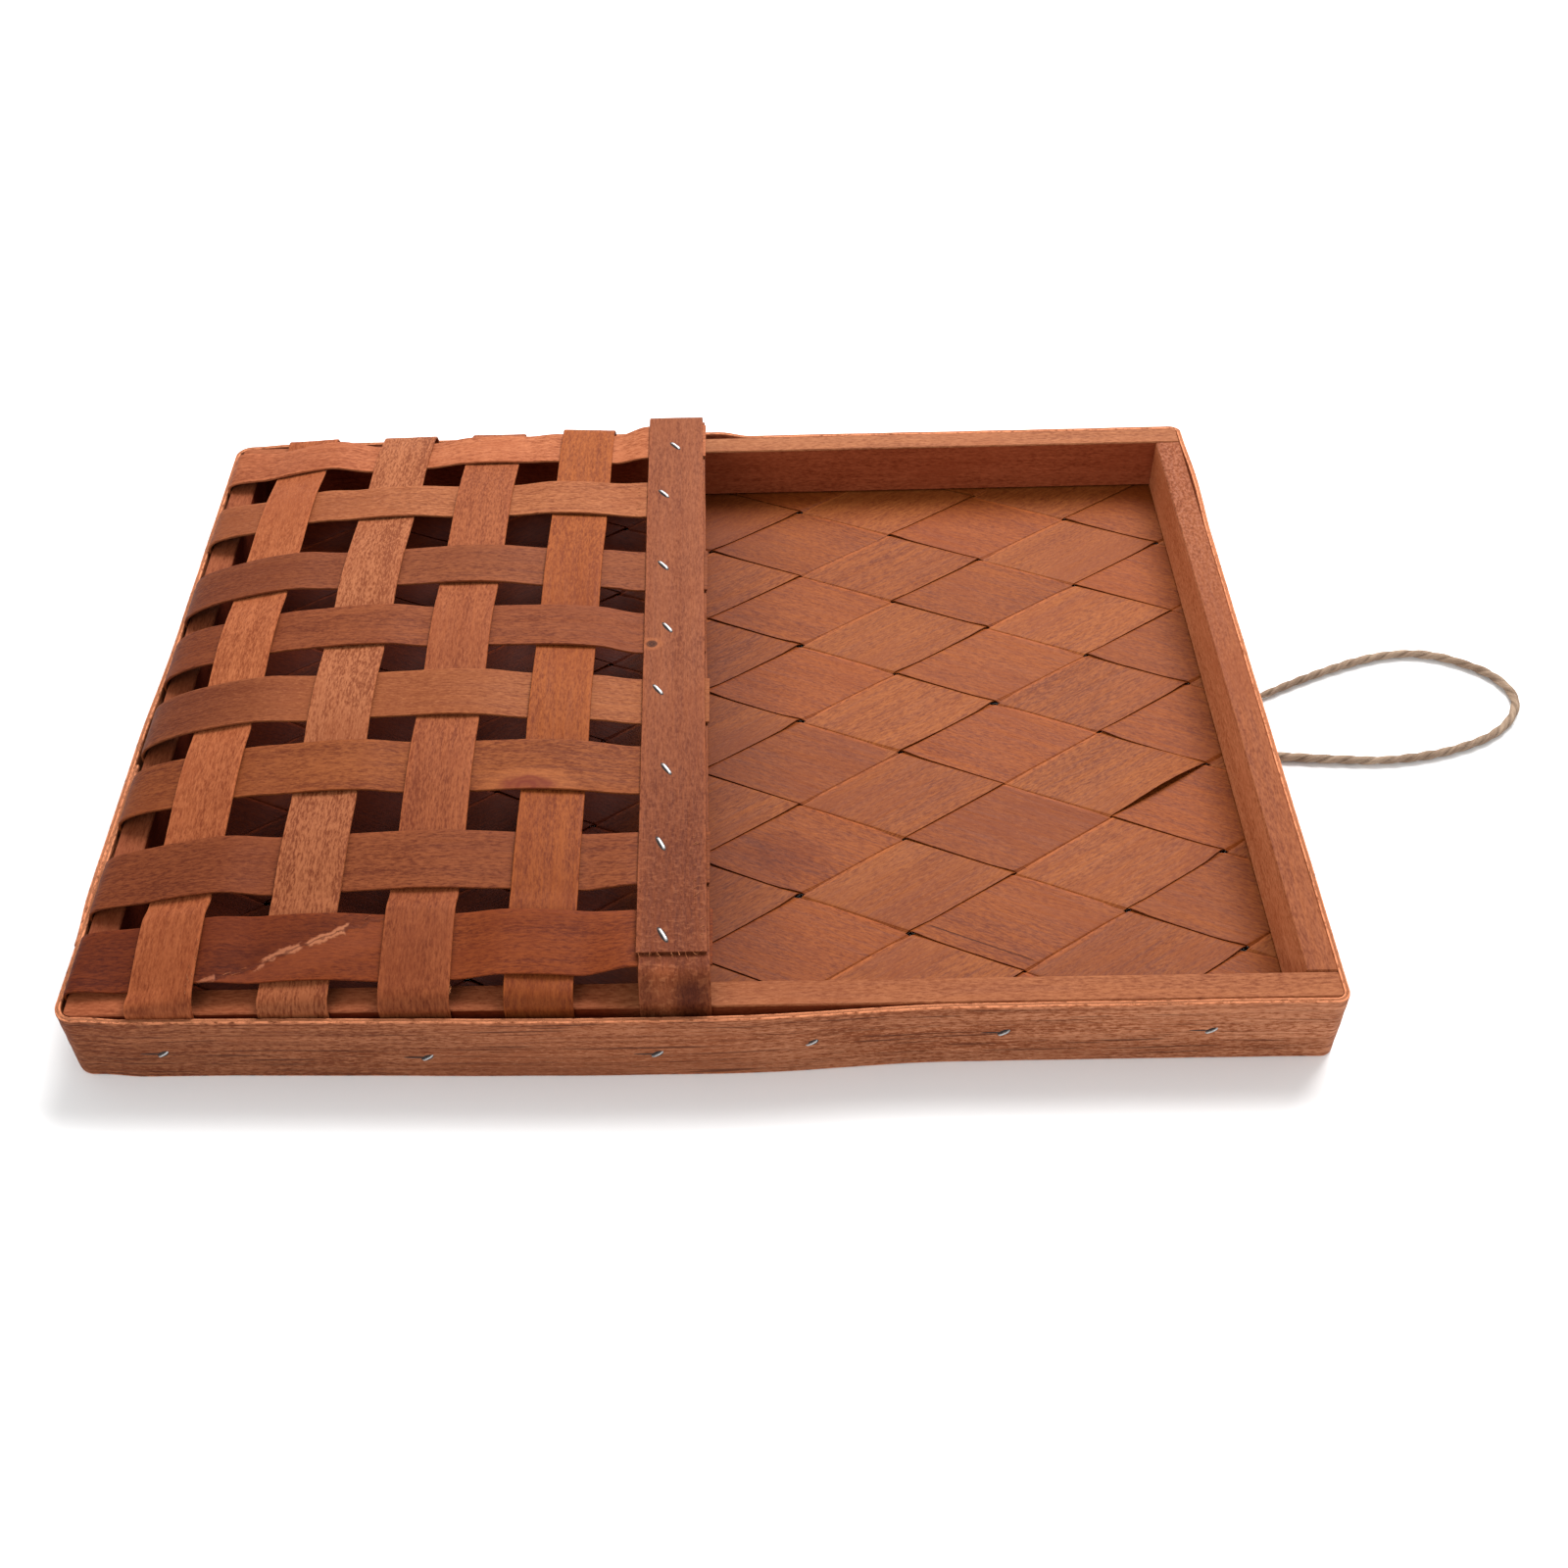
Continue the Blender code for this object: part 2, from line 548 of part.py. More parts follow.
def make_long_splint(row, rim_legs):
    edges = (LONG_Y[row] - LONG_WIDTH[row] / 2, LONG_Y[row] + LONG_WIDTH[row] / 2)
    stations = []
    for column, x in enumerate(CROSS_X):
        swing = OVER if long_is_over(row, column) else UNDER
        half = CROSS_WIDTH[column] / 2 + CROSSING_MARGIN
        enter, leave = (
            (place, *(crossing_height(row, column, place, y, swing) for y in edges))
            for place in (x - half, x + half)
        )
        slope = CROSS_TILTS[column]
        if column == 0:
            stations += shoulder(LOWER_SLOT_X, enter, slope, SHOULDER_LIFT, LONG_SHOULDER_REACH)
        else:
            stations += smooth_run(stations[-1], last_slope, enter, slope)
        stations += [enter, leave]
        last_slope = slope
    height = RIM_MIDDLE if row < len(LONG_Y) - 1 else RIM_MIDDLE - LAYER_STEP
    rim_x = rim_centre_x(LONG_Y[row])
    enter = (rim_x - SPLINT_WIDTH / 2 - CROSSING_MARGIN, height, height)
    stations += smooth_run(stations[-1], last_slope, enter, 0)
    stations += [enter, (rim_x + SPLINT_WIDTH / 2 - LONG_END_INSET, height, height)]
    name = f"long_splint_{row + 1}"
    splint = lay_strip(
        name, [(Vector((x, edges[0], low)), Vector((x, edges[1], high))) for x, low, high in stations],
        SPLINT_THICKNESS, wood(name, LONG_COLOURS[row]),
    )
    cut(splint, rim_legs)


def make_cross_splint(column, band_legs):
    half_width = CROSS_WIDTH[column] / 2
    edges = (CROSS_X[column] - half_width, CROSS_X[column] + half_width)
    stations = []
    for row, y in enumerate(LONG_Y):
        swing = UNDER if long_is_over(row, column) else OVER
        half = LONG_WIDTH[row] / 2 + CROSSING_MARGIN
        enter, leave = (
            (place, *(crossing_height(row, column, x, place, swing) for x in edges))
            for place in (y + half, y - half)
        )
        slope = side_slope(row, column)
        if row == 0:
            stations += shoulder(SIDE_SLOT_Y, enter, slope, SHOULDER_LIFT, CROSS_SHOULDER_REACH)
        else:
            stations += smooth_run(stations[-1], last_slope, enter, slope)
        stations += [enter, leave]
        last_slope = slope
    end = shoulder(-SIDE_SLOT_Y, stations[-1], last_slope, SHOULDER_LIFT, CROSS_SHOULDER_REACH)
    stations += reversed(end)
    name = f"cross_splint_{column + 1}"
    splint = lay_strip(
        name, [(Vector((edges[0], y, low)), Vector((edges[1], y, high))) for y, low, high in stations],
        SPLINT_THICKNESS, wood(name, CROSS_COLOURS[column]),
    )
    cut(splint, band_legs)


# The rim

def lay_rim_strip(name, stations, shift, cutters):
    half = SPLINT_WIDTH / 2
    pairs = []
    for y, low, high in stations:
        x = rim_centre_x(y) + shift
        pairs.append((Vector((x - half, y, low)), Vector((x + half, y, high))))
    strip = lay_strip(name, pairs, SPLINT_THICKNESS, wood(name, RIM_COLOUR))
    for cutter in cutters:
        cut(strip, cutter)


def rim_end(slot, bend_y, height):
    rise = height - BAND_HEIGHT
    reach = abs(slot - bend_y) * RIM_BEND_PULL_SHARE
    return shoulder(slot, (bend_y, height, height), 0, rise * RIM_BEND_PULL_SHARE, reach)


def make_rim(rim_legs, band_legs):
    """The outer strip stops at a seam; the inner one comes up over the last long splint."""
    low, high = RIM_MIDDLE - LAYER_STEP, RIM_MIDDLE + LAYER_STEP
    bend_y = SIDE_SLOT_Y - RIM_BEND
    stations = rim_end(SIDE_SLOT_Y + LAYER_STEP, bend_y, high)
    stations += [(bend_y, high, high), (RIM_SEAM_Y, high, high)]
    lay_rim_strip("rim_strip_outer", stations, 0, [rim_legs])

    under_end = LONG_Y[-2] - LONG_WIDTH[-2] / 2 - CROSSING_MARGIN
    over_start = LONG_Y[-1] + LONG_WIDTH[-1] / 2 + CROSSING_MARGIN
    over_end = LONG_Y[-1] - LONG_WIDTH[-1] / 2 - CROSSING_MARGIN
    leave, enter = (under_end, low, low), (over_start, RIM_MIDDLE, RIM_MIDDLE)
    stations = rim_end(SIDE_SLOT_Y, bend_y, low)
    stations += [(bend_y, low, low), leave, *smooth_run(leave, 0, enter, 0), enter]
    stations.append((over_end, RIM_MIDDLE, RIM_MIDDLE))
    stations += reversed(rim_end(-SIDE_SLOT_Y, over_end, RIM_MIDDLE))
    lay_rim_strip("rim_strip_inner", stations, RIM_INNER_SHIFT, [rim_legs, band_legs])


# The staples

class Staple:
    """A wire staple: where its crown's middle lies, which way it runs and how deep its legs go."""

    def __init__(self, name, crown, along, into, depth, tips=0):
        self.name = name
        self.into = into
        self.depth = depth
        self.feet = [crown - along * STAPLE_REACH, crown + along * STAPLE_REACH]
        self.along = along
        self.tips = tips

    def make(self, steel):
        first, last = self.feet
        ends = [foot + self.into * self.depth for foot in self.feet]
        points = [ends[0], first, last, ends[1]]
        if self.tips:
            points = [ends[0] + self.along * self.tips, *points, ends[1] - self.along * self.tips]
        wire_curve(self.name, points, STAPLE_WIRE / 2, 1, steel)


def leg_holes(name, staples):
    """One cutter with a clearance hole for each leg of some staples."""
    mesh = bpy.data.meshes.new(name)
    shape = bmesh.new()
    for staple in staples:
        length = staple.depth + 2 * SEAT_GAP + STAPLE_WIRE
        turn = UP.rotation_difference(staple.into).to_matrix().to_4x4()
        for foot in staple.feet:
            place = Matrix.Translation(foot + staple.into * staple.depth / 2) @ turn
            bmesh.ops.create_cone(
                shape, cap_ends=True, segments=6, radius1=LEG_HOLE_RADIUS, radius2=LEG_HOLE_RADIUS,
                depth=length, matrix=place,
            )
    shape.to_mesh(mesh)
    shape.free()
    return add_cutter(name, mesh)


def rim_staples():
    staples = []
    crown_z = RIM_MIDDLE + LAYER_STEP + SPLINT_THICKNESS / 2 + SEAT_GAP + STAPLE_WIRE / 2
    under_z = RIM_MIDDLE - LAYER_STEP - SPLINT_THICKNESS / 2 - SEAT_GAP - STAPLE_WIRE / 2
    places = zip(LONG_Y, RIM_STAPLE_X_SHARES, RIM_STAPLE_Y_SHARES, RIM_STAPLE_TURNS)
    for number, (row_y, x_share, y_share, turn) in enumerate(places, start=1):
        y = row_y + y_share * SPLINT_WIDTH
        x = rim_centre_x(y) + x_share * SPLINT_WIDTH
        along = Vector((math.cos(math.radians(turn)), math.sin(math.radians(turn)), 0))
        staples.append(
            Staple(f"rim_staple_{number}", Vector((x, y, crown_z)), along, -UP, crown_z - under_z, STAPLE_TIP)
        )
    return staples


def band_staples():
    staples = []
    along = Vector((math.cos(BAND_STAPLE_TURN), 0, math.sin(BAND_STAPLE_TURN)))
    leg_end = -RAIL_OUTER_Y + STAPLE_BITE
    places = zip(BAND_STAPLE_X_SHARES, BAND_STAPLE_Z_SHARES)
    for number, (x_share, z_share) in enumerate(places, start=1):
        x = x_share * TRAY_LENGTH
        y = -(TRAY_WIDTH / 2 + band_bulge(x, RIGHT_BULGE_RUN) + SEAT_GAP + STAPLE_WIRE / 2)
        crown = Vector((x, y, z_share * BAND_HEIGHT))
        staples.append(Staple(f"band_staple_{number}", crown, along, Vector((0, 1, 0)), leg_end - y))
    return staples


def from_upper_face(route):
    return [Vector(point) + Vector((TRAY_LENGTH / 2, 0, 0)) for point in route]


def twine_staple():
    middle = from_upper_face(BACK_ROUTE)[len(BACK_ROUTE) // 2]
    crown = Vector((middle.x, middle.y, FLOOR_CLEARANCE + STAPLE_WIRE / 2))
    return Staple("twine_staple", crown, Vector((1, 0, 0)), UP, RAIL_BASE + STAPLE_BITE - crown.z)


# The twine

def make_twine_notches():
    """Two notches in the band's back edge, one for each leg of the twine."""
    half = TWINE_DIAMETER / 2 + NOTCH_CLEARANCE
    outer_x = TRAY_LENGTH / 2
    mesh = bpy.data.meshes.new("twine_notches")
    shape = bmesh.new()
    route = from_upper_face(BACK_ROUTE)
    for exit_point in (route[0], route[-1]):
        top = exit_point.z + half
        size = Vector((BAND_THICKNESS + 2 * CUT_OVERRUN, 2 * half, top + CUT_OVERRUN))
        middle = Vector((outer_x - BAND_THICKNESS / 2, exit_point.y, (top - CUT_OVERRUN) / 2))
        place = Matrix.Translation(middle) @ Matrix.Diagonal((*size, 1))
        bmesh.ops.create_cube(shape, size=1, matrix=place)
    shape.to_mesh(mesh)
    shape.free()
    return add_cutter("twine_notches", mesh)


def make_twine():
    twine = make_material("twine", TWINE_COLOUR, TWINE_ROUGHNESS)
    radius = TWINE_DIAMETER / 2
    back_run, loop_run = from_upper_face(BACK_ROUTE), from_upper_face(LOOP_ROUTE)
    wire_curve("twine_back_run", smooth_route(back_run, TWINE_POINT_PITCH), radius, 2, twine)
    start, finish = loop_run[0], back_run[0]
    hinge = Vector(((start.x + finish.x) / 2, 0, start.z + radius + SEAT_GAP / 2))
    pivot = bpy.data.objects.new("loop_pivot", None)
    pivot.location = hinge
    bpy.data.collections["wall_hanging_basket"].objects.link(pivot)
    route = [point - hinge for point in smooth_route(loop_run, TWINE_POINT_PITCH)]
    loop = wire_curve("hanging_loop", route, radius, 2, twine)
    loop.parent = pivot


def main():
    clear_scene()
    make_collection("wall_hanging_basket")
    make_collection("cutters")
    inner_space = make_inner_space()
    through_rim, through_band, at_twine = rim_staples(), band_staples(), twine_staple()
    rim_legs = leg_holes("rim_staple_legs", through_rim)
    band_legs = leg_holes("band_staple_legs", through_band)
    twine_legs = leg_holes("twine_staple_legs", [at_twine])
    make_edge_band([make_twine_notches(), band_legs])
    make_rails(inner_space, band_legs, twine_legs)
    make_back(inner_space, twine_legs, at_twine.feet)
    for row in range(len(LONG_Y)):
        make_long_splint(row, rim_legs)
    for column in range(len(CROSS_X)):
        make_cross_splint(column, band_legs)
    make_rim(rim_legs, band_legs)
    steel = make_material("staple_steel", STEEL_COLOUR, STEEL_ROUGHNESS, 1.0)
    for staple in (*through_rim, *through_band, at_twine):
        staple.make(steel)
    make_twine()


main()
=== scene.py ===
"""The looks of a wall hanging basket: a shallow wooden tray with a woven pocket and a twine loop.

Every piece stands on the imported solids. X runs along the tray to the twine loop, which is up when
the basket hangs, Y runs across to the tray's left side, and Z points out of the wall, in metres.
"""

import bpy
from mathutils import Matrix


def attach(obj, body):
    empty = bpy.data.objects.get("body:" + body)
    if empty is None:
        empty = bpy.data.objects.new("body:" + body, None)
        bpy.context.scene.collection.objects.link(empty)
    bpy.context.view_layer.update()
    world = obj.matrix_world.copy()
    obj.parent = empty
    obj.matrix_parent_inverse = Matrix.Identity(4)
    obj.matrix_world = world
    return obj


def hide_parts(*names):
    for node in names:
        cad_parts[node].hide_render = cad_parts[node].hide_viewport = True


bl_info = {
    "name": "Wall Hanging Basket",
    "version": (1, 0, 0),
    "blender": (4, 5, 0),
    "location": "3D View > Sidebar > Basket",
    "description": "Dresses the packed wall basket in stained splints, staples and twine",
    "category": "Add Mesh",
}

import math

import bmesh
import bpy
import numpy as np
from bpy.props import FloatProperty, FloatVectorProperty, IntProperty, PointerProperty
from mathutils import Matrix, Vector, noise

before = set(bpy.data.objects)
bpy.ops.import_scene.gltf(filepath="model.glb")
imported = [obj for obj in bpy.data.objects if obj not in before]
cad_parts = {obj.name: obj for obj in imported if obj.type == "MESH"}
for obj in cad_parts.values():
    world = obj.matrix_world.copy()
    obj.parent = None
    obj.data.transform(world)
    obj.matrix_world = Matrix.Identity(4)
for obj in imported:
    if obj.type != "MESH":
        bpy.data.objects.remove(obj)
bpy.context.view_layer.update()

BODY = "basket"
LOOP_BODY = "hanging_loop"

# Sizes of the solids that the pieces stand for
TRAY_LENGTH = 0.400
TRAY_WIDTH = 0.303
BAND_HEIGHT = 0.0284
BAND_THICKNESS = 0.0012
LOWER_CORNER_RADIUS = 0.0062
UPPER_CORNER_RADIUS = 0.004
SEAT_GAP = 0.0003
SPLINT_THICKNESS = 0.0009
LAYER_STEP = SPLINT_THICKNESS + SEAT_GAP
SPLINT_BODY = 0.0010
BAND_BODY = 0.0017
BAND_PROUD = 0.0002
BAND_SKIN = (BAND_BODY - BAND_THICKNESS) / 2 + BAND_PROUD
BAND_FOOT = 0.00012
BAND_TIP = 0.00025
# How long the band takes to come back from the rim's ends, on the right and on the left side
RIGHT_RUN, LEFT_RUN = 0.080, 0.014
# The band's swell at the upper end: how far it stands off, where it starts and how long it is
UPPER_SWELL, SWELL_START, SWELL_LENGTH = 0.0009, 0.078, 0.070
NOTCH_REACH, NOTCH_DEPTH = 0.0022, 0.0040
LAP_TAPER = 0.022
BAND_TAPER = 0.0006
LAP_STEP = BAND_THICKNESS + SEAT_GAP
RAIL_OUTER_Y = TRAY_WIDTH / 2 - BAND_THICKNESS - SEAT_GAP
UPPER_RAIL_OUTER_X = TRAY_LENGTH / 2 - BAND_THICKNESS - SEAT_GAP
LOWER_BAND_INNER_X = -(TRAY_LENGTH / 2 - BAND_THICKNESS - LAP_STEP)
LOWER_RAIL_OUTER_X = LOWER_BAND_INNER_X + LAYER_STEP + SEAT_GAP
LOWER_SLOT_X = LOWER_RAIL_OUTER_X - SEAT_GAP - SPLINT_THICKNESS / 2
SIDE_SLOT_Y = RAIL_OUTER_Y + SEAT_GAP + SPLINT_THICKNESS / 2
SPLINT_WIDTH = 0.022
CROSSING_MARGIN = 0.0005
LONG_Y = [share * TRAY_WIDTH for share in (0.432, 0.302, 0.1535, 0.036, -0.084, -0.196, -0.328, -0.434)]
LONG_WIDTH = [share * SPLINT_WIDTH for share in (1.0, 1.02, 1.05, 1.0, 1.02, 1.02, 1.02, 1.02)]
LONG_TILTS = (0.0, 0.0, 0.0, 0.0, 0.0, 0.0, 0.02, 0.09)
CROSS_X = [share * TRAY_LENGTH for share in (-0.4125, -0.309, -0.215, -0.119)]
CROSS_WIDTH = [share * SPLINT_WIDTH for share in (0.96, 1.0, 1.0, 0.97)]
POCKET_RISE = 0.0181
MIDDLE_RISES = (0.78, 1.0, 1.0, 0.89)
LEFT_RISES = (0.34, 0.42, 0.51, 0.55)
RIGHT_RISES = (0.38, 0.46, 0.49, 0.50)
CROSS_TILTS = (0.20, 0.05, 0.0, -0.07)
OUTERMOST_Y = max(abs(y) for y in LONG_Y)
SPLINT_TAIL_END = 0.264 * BAND_HEIGHT
SHOULDER_LIFT = 0.0055
LONG_REACH = 0.008
CROSS_REACH = 0.0024
RIM_X = -0.0088
RIM_SLANT = -0.0161
RIM_MIDDLE = BAND_HEIGHT + 0.0120
RIM_BEND = 0.0070
RIM_PULL = 0.6
RIM_SHIFT = 0.0008
RIM_SEAM_Y = -0.460 * TRAY_WIDTH
RIM_TOP = RIM_MIDDLE + LAYER_STEP + SPLINT_BODY / 2
# How far each long splint ends past the rim's edge
LONG_ENDS = (0.0012, 0.0002, 0.0013, 0.0005, 0.0015, -0.0006, 0.0011, 0.0016)
BACK_MIDDLE = 0.0053
RISING_RISE, RISING_PITCH = 0.904, 0.1384
FALLING_RISE, FALLING_PITCH = -0.630, 0.1430
BACK_CROSSING = Vector((0.185 * TRAY_LENGTH, 0.082 * TRAY_WIDTH, 0))
# The smallest share of a strip that is still laid in a corner of the back
CORNER_TIP = 0.55
# How the back's strips are cut off in the tray's corners
LOWER_CUT_RADIUS, UPPER_CUT_RADIUS, CUT_SHARE = 0.0044, 0.0022, 0.55
SLIT_WIDTH = 0.0011
# Half the length that a strip is laid before it is cut off
STRIP_REACH = 0.280
# Enough crossings on a strip, to both sides, to reach past the tray
CROSSINGS = range(-9, 10)

# Place in the tray, and the crown's turn in degrees
RIM_STAPLES = (
    (-0.0110, 0.1256, -51), (-0.0148, 0.0933, -52), (-0.0139, 0.0483, -53), (-0.0114, 0.0122, -57),
    (-0.0140, -0.0211, -56), (-0.0100, -0.0605, -59), (-0.0109, -0.0945, -65), (-0.0093, -0.1326, -63),
)
# Place along the tray and height
BAND_STAPLES = (
    (-0.1672, 0.0125), (-0.0840, 0.0105), (-0.0120, 0.0116), (0.0360, 0.0148), (0.0956, 0.0153),
    (0.1596, 0.0148),
)

LOOP_ROUTE = (
    (0.2019, 0.0089), (0.2052, 0.0096), (0.2113, 0.0126), (0.2230, 0.0186), (0.2370, 0.0250),
    (0.2490, 0.0300), (0.2605, 0.0336), (0.2713, 0.0348), (0.2815, 0.0329), (0.2910, 0.0286),
    (0.2984, 0.0230), (0.3033, 0.0158), (0.3046, 0.0086), (0.3024, 0.0012), (0.2972, -0.0058),
    (0.2894, -0.0119), (0.2800, -0.0164), (0.2690, -0.0200), (0.2565, -0.0222), (0.2445, -0.0226),
    (0.2330, -0.0220), (0.2226, -0.0212), (0.2126, -0.0202), (0.2060, -0.0197), (0.2019, -0.0196),
)
LOOP_HEIGHT = 0.0018
LOOP_TOP = 0.0036
BACK_ROUTE = (
    (0.2016, 0.0089, 0.0018), (0.1994, 0.0089, 0.0019), (0.1976, 0.0079, 0.0021),
    (0.1956, 0.0055, 0.0024), (0.1943, 0.0022, 0.0027), (0.1939, -0.0014, 0.0028),
    (0.1939, -0.0054, 0.0028), (0.1939, -0.0094, 0.0028), (0.1943, -0.0130, 0.0027),
    (0.1956, -0.0163, 0.0024), (0.1976, -0.0186, 0.0021), (0.1994, -0.0196, 0.0019),
    (0.2016, -0.0196, 0.0018),
)
# The twine bends up out of the band's notches, into the loop's ends
ELBOW = ((0.2034, 0.0027), (0.2027, 0.0020))
NOTCHES = (BACK_ROUTE[0][1], BACK_ROUTE[-1][1])
TWINE_DIAMETER = 0.0032

# How bright the lit stage shows a white surface
STAGE_LIGHT = 1.43


def stain(red, green, blue):
    """A colour as it is seen on the lit stage, from 0 to 255, as the surface's own colour."""
    shares = (red / 255, green / 255, blue / 255)
    light = (s / 12.92 if s < 0.04045 else ((s + 0.055) / 1.055) ** 2.4 for s in shares)
    return (*(value / STAGE_LIGHT for value in light), 1.0)


# Sizes and colours that a user would change

def length_setting(name, description, default, high, low=0.0):
    return FloatProperty(
        name=name, description=description, default=default, min=low, max=high, precision=5,
        subtype="DISTANCE", unit="LENGTH")


def colour_setting(name, description, default):
    return FloatVectorProperty(
        name=name, description=description, default=default[:3], size=3, min=0.0, max=1.0, subtype="COLOR")


def factor_setting(name, description, default, high, low=0.0):
    return FloatProperty(
        name=name, description=description, default=default, min=low, max=high, subtype="FACTOR")


def power_setting(name, description, default):
    return FloatProperty(
        name=name, description=description, default=default, min=0.0, max=500.0, unit="POWER")


class WoodSettings(bpy.types.PropertyGroup):
    brightness: factor_setting("Brightness", "Lightens or darkens all the stained wood", 1.0, 3.0, 0.2)
    rail: colour_setting("Rail Stain", "Stain of the sawn rails", stain(168, 98, 60))
    band: colour_setting("Band Stain", "Stain of the edge band", stain(190, 119, 82))
    rising: colour_setting("Rising Strip Stain", "Stain of the back's rising strips", stain(141, 73, 29))
    falling: colour_setting("Falling Strip Stain", "Stain of the back's falling strips", stain(137, 67, 23))
    splint: colour_setting("Splint Stain", "Stain of the pocket's splints", stain(157, 87, 51))
    rim: colour_setting("Rim Stain", "Stain of the rim strips", stain(133, 71, 41))
    splint_arch: length_setting(
        "Splint Arch", "How much a splint arches over the one it crosses", 0.00045, 0.003)
    edge_wander: length_setting(
        "Edge Wander", "How far a splint's sawn edge wanders off its line", 0.00018, 0.002)
    ripple: length_setting("Ripple", "Height of the gentle waves in a splint's face", 0.00010, 0.001)
    relief: length_setting("Grain Relief", "Depth of the grain in the wood's surface", 0.00016, 0.002)


class BackSettings(bpy.types.PropertyGroup):
    thickness: length_setting("Thickness", "Thickness of a strip of the back", 0.0004, 0.002, 0.0002)
    swing: length_setting("Swing", "How far a strip lies above or below the weave's middle", 0.00028, 0.002)
    curl: length_setting("Curl", "How far the edges of a strip curl up off the weave", 0.00036, 0.002)
    rising_gap: length_setting(
        "Gap Between Rising Strips", "Slit left between two rising strips", 0.0004, 0.006, 0.0002)
    falling_gap: length_setting(
        "Gap Between Falling Strips", "Slit left between two falling strips", 0.0005, 0.006, 0.0002)
    pinch: length_setting("Corner Holes", "How far the strips draw in where four of them meet", 0.0012, 0.004)
    tilt: length_setting(
        "Tilt", "How far a strip's near edge stands up and its far edge lies down", 0.00013, 0.001)


class TwineSettings(bpy.types.PropertyGroup):
    diameter: length_setting("Diameter", "Thickness of the twine", TWINE_DIAMETER, 0.01, 0.001)
    lay: length_setting("Lay", "Length over which a ply winds once round the twine", 0.0150, 0.1, 0.003)
    fuzz: IntProperty(
        name="Fuzz", description="Number of loose fibres on the loop", default=230, min=0, max=2000)


class StageSettings(bpy.types.PropertyGroup):
    floor: colour_setting("Floor Colour", "Colour of the plain floor", (0.90, 0.90, 0.90))
    key_power: power_setting("Key Power", "Power of the large light behind the tray", 38.0)
    fill_power: power_setting("Fill Power", "Power of the fill light at the front", 6.0)
    sky: factor_setting("Sky Strength", "Strength of the even light from all round", 0.70, 10.0)


# Node trees

class Value:
    """A node's output that takes part in plain arithmetic."""

    def __init__(self, work, socket):
        self.work, self.socket = work, socket

    def __add__(self, other):
        return self.work.maths("ADD", self, other)

    __radd__ = __add__

    def __sub__(self, other):
        return self.work.maths("SUBTRACT", self, other)

    def __rsub__(self, other):
        return self.work.maths("SUBTRACT", other, self)

    def __mul__(self, other):
        return self.work.maths("MULTIPLY", self, other)

    __rmul__ = __mul__

    def __truediv__(self, other):
        return self.work.maths("DIVIDE", self, other)

    def __abs__(self):
        return self.work.maths("ABSOLUTE", self)


class Work:
    """Adds nodes to one tree."""

    def __init__(self, tree):
        self.tree = tree

    def feed(self, socket, value):
        if isinstance(value, Value):
            self.tree.links.new(value.socket, socket)
        else:
            socket.default_value = value

    def add(self, kind, settings=None, inputs=None, output=0):
        """A new node: its own settings first, then the values or links of its sockets."""
        node = self.tree.nodes.new(kind)
        for key, value in (settings or {}).items():
            setattr(node, key, value)
        for key, value in (inputs or {}).items():
            self.feed(self.find(node.inputs, key), value)
        return Value(self, self.find(node.outputs, output))

    def find(self, sockets, key):
        if isinstance(key, int):
            return sockets[key]
        named = [s for s in sockets if key in (s.identifier, s.name)]
        return next((s for s in named if s.enabled), named[0])

    def maths(self, operation, *values):
        return self.add("ShaderNodeMath", {"operation": operation}, dict(enumerate(values)))

    def vectors(self, operation, *values, output=0):
        return self.add("ShaderNodeVectorMath", {"operation": operation}, dict(enumerate(values)), output)

    def vector(self, x, y, z):
        return self.add("ShaderNodeCombineXYZ", {}, {0: x, 1: y, 2: z})

    def part(self, vector, axis):
        return self.add("ShaderNodeSeparateXYZ", {}, {0: vector}, axis)

    def here(self):
        """Where a shaded point lies in the tray."""
        return self.add("ShaderNodeTexCoord", {}, {}, "Object")

    def kept(self, name, output="Vector"):
        """What a mesh keeps under a name."""
        return self.add("ShaderNodeAttribute", {"attribute_name": name}, {}, output)

    def scaled(self, place, along, across):
        return self.vectors("MULTIPLY", place, (along, across, across))

    def noise(self, place, detail=2.0, roughness=0.5, scale=1.0):
        return self.add(
            "ShaderNodeTexNoise", {"noise_dimensions": "3D"},
            {"Vector": place, "Scale": scale, "Detail": detail, "Roughness": roughness})

    def stray(self, place, detail, roughness, scale, amount):
        """Noise around 0."""
        return (self.noise(place, detail, roughness, scale) - 0.5) * amount

    def step(self, value, low, high, smooth=True):
        """0 below low, 1 above high, and a ramp between them."""
        return self.add(
            "ShaderNodeMapRange", {"interpolation_type": "SMOOTHSTEP" if smooth else "LINEAR"},
            {"Value": value, "From Min": low, "From Max": high})

    def fall(self, value, low, high, smooth=True):
        """1 below low, 0 above high."""
        return 1 - self.step(value, low, high, smooth)

    def bump(self, value, low, inner, outer, high):
        """0 outside low and high, 1 from inner to outer."""
        return self.step(value, low, inner) * self.fall(value, outer, high)

    def blend(self, share, first, second, kind="MIX"):
        return self.add(
            "ShaderNodeMix", {"data_type": "RGBA", "blend_type": kind, "clamp_factor": True},
            {"Factor_Float": share, "A_Color": first, "B_Color": second}, "Result_Color")

    def tint(self, share, colour, shares):
        """A colour whose red, green and blue are cut to shares of themselves."""
        return self.blend(share, colour, (*shares, 1.0), "MULTIPLY")


def new_finish(name):
    material = bpy.data.materials.new(name)
    material.use_nodes = True
    return material, Work(material.node_tree), material.node_tree.nodes["Principled BSDF"]


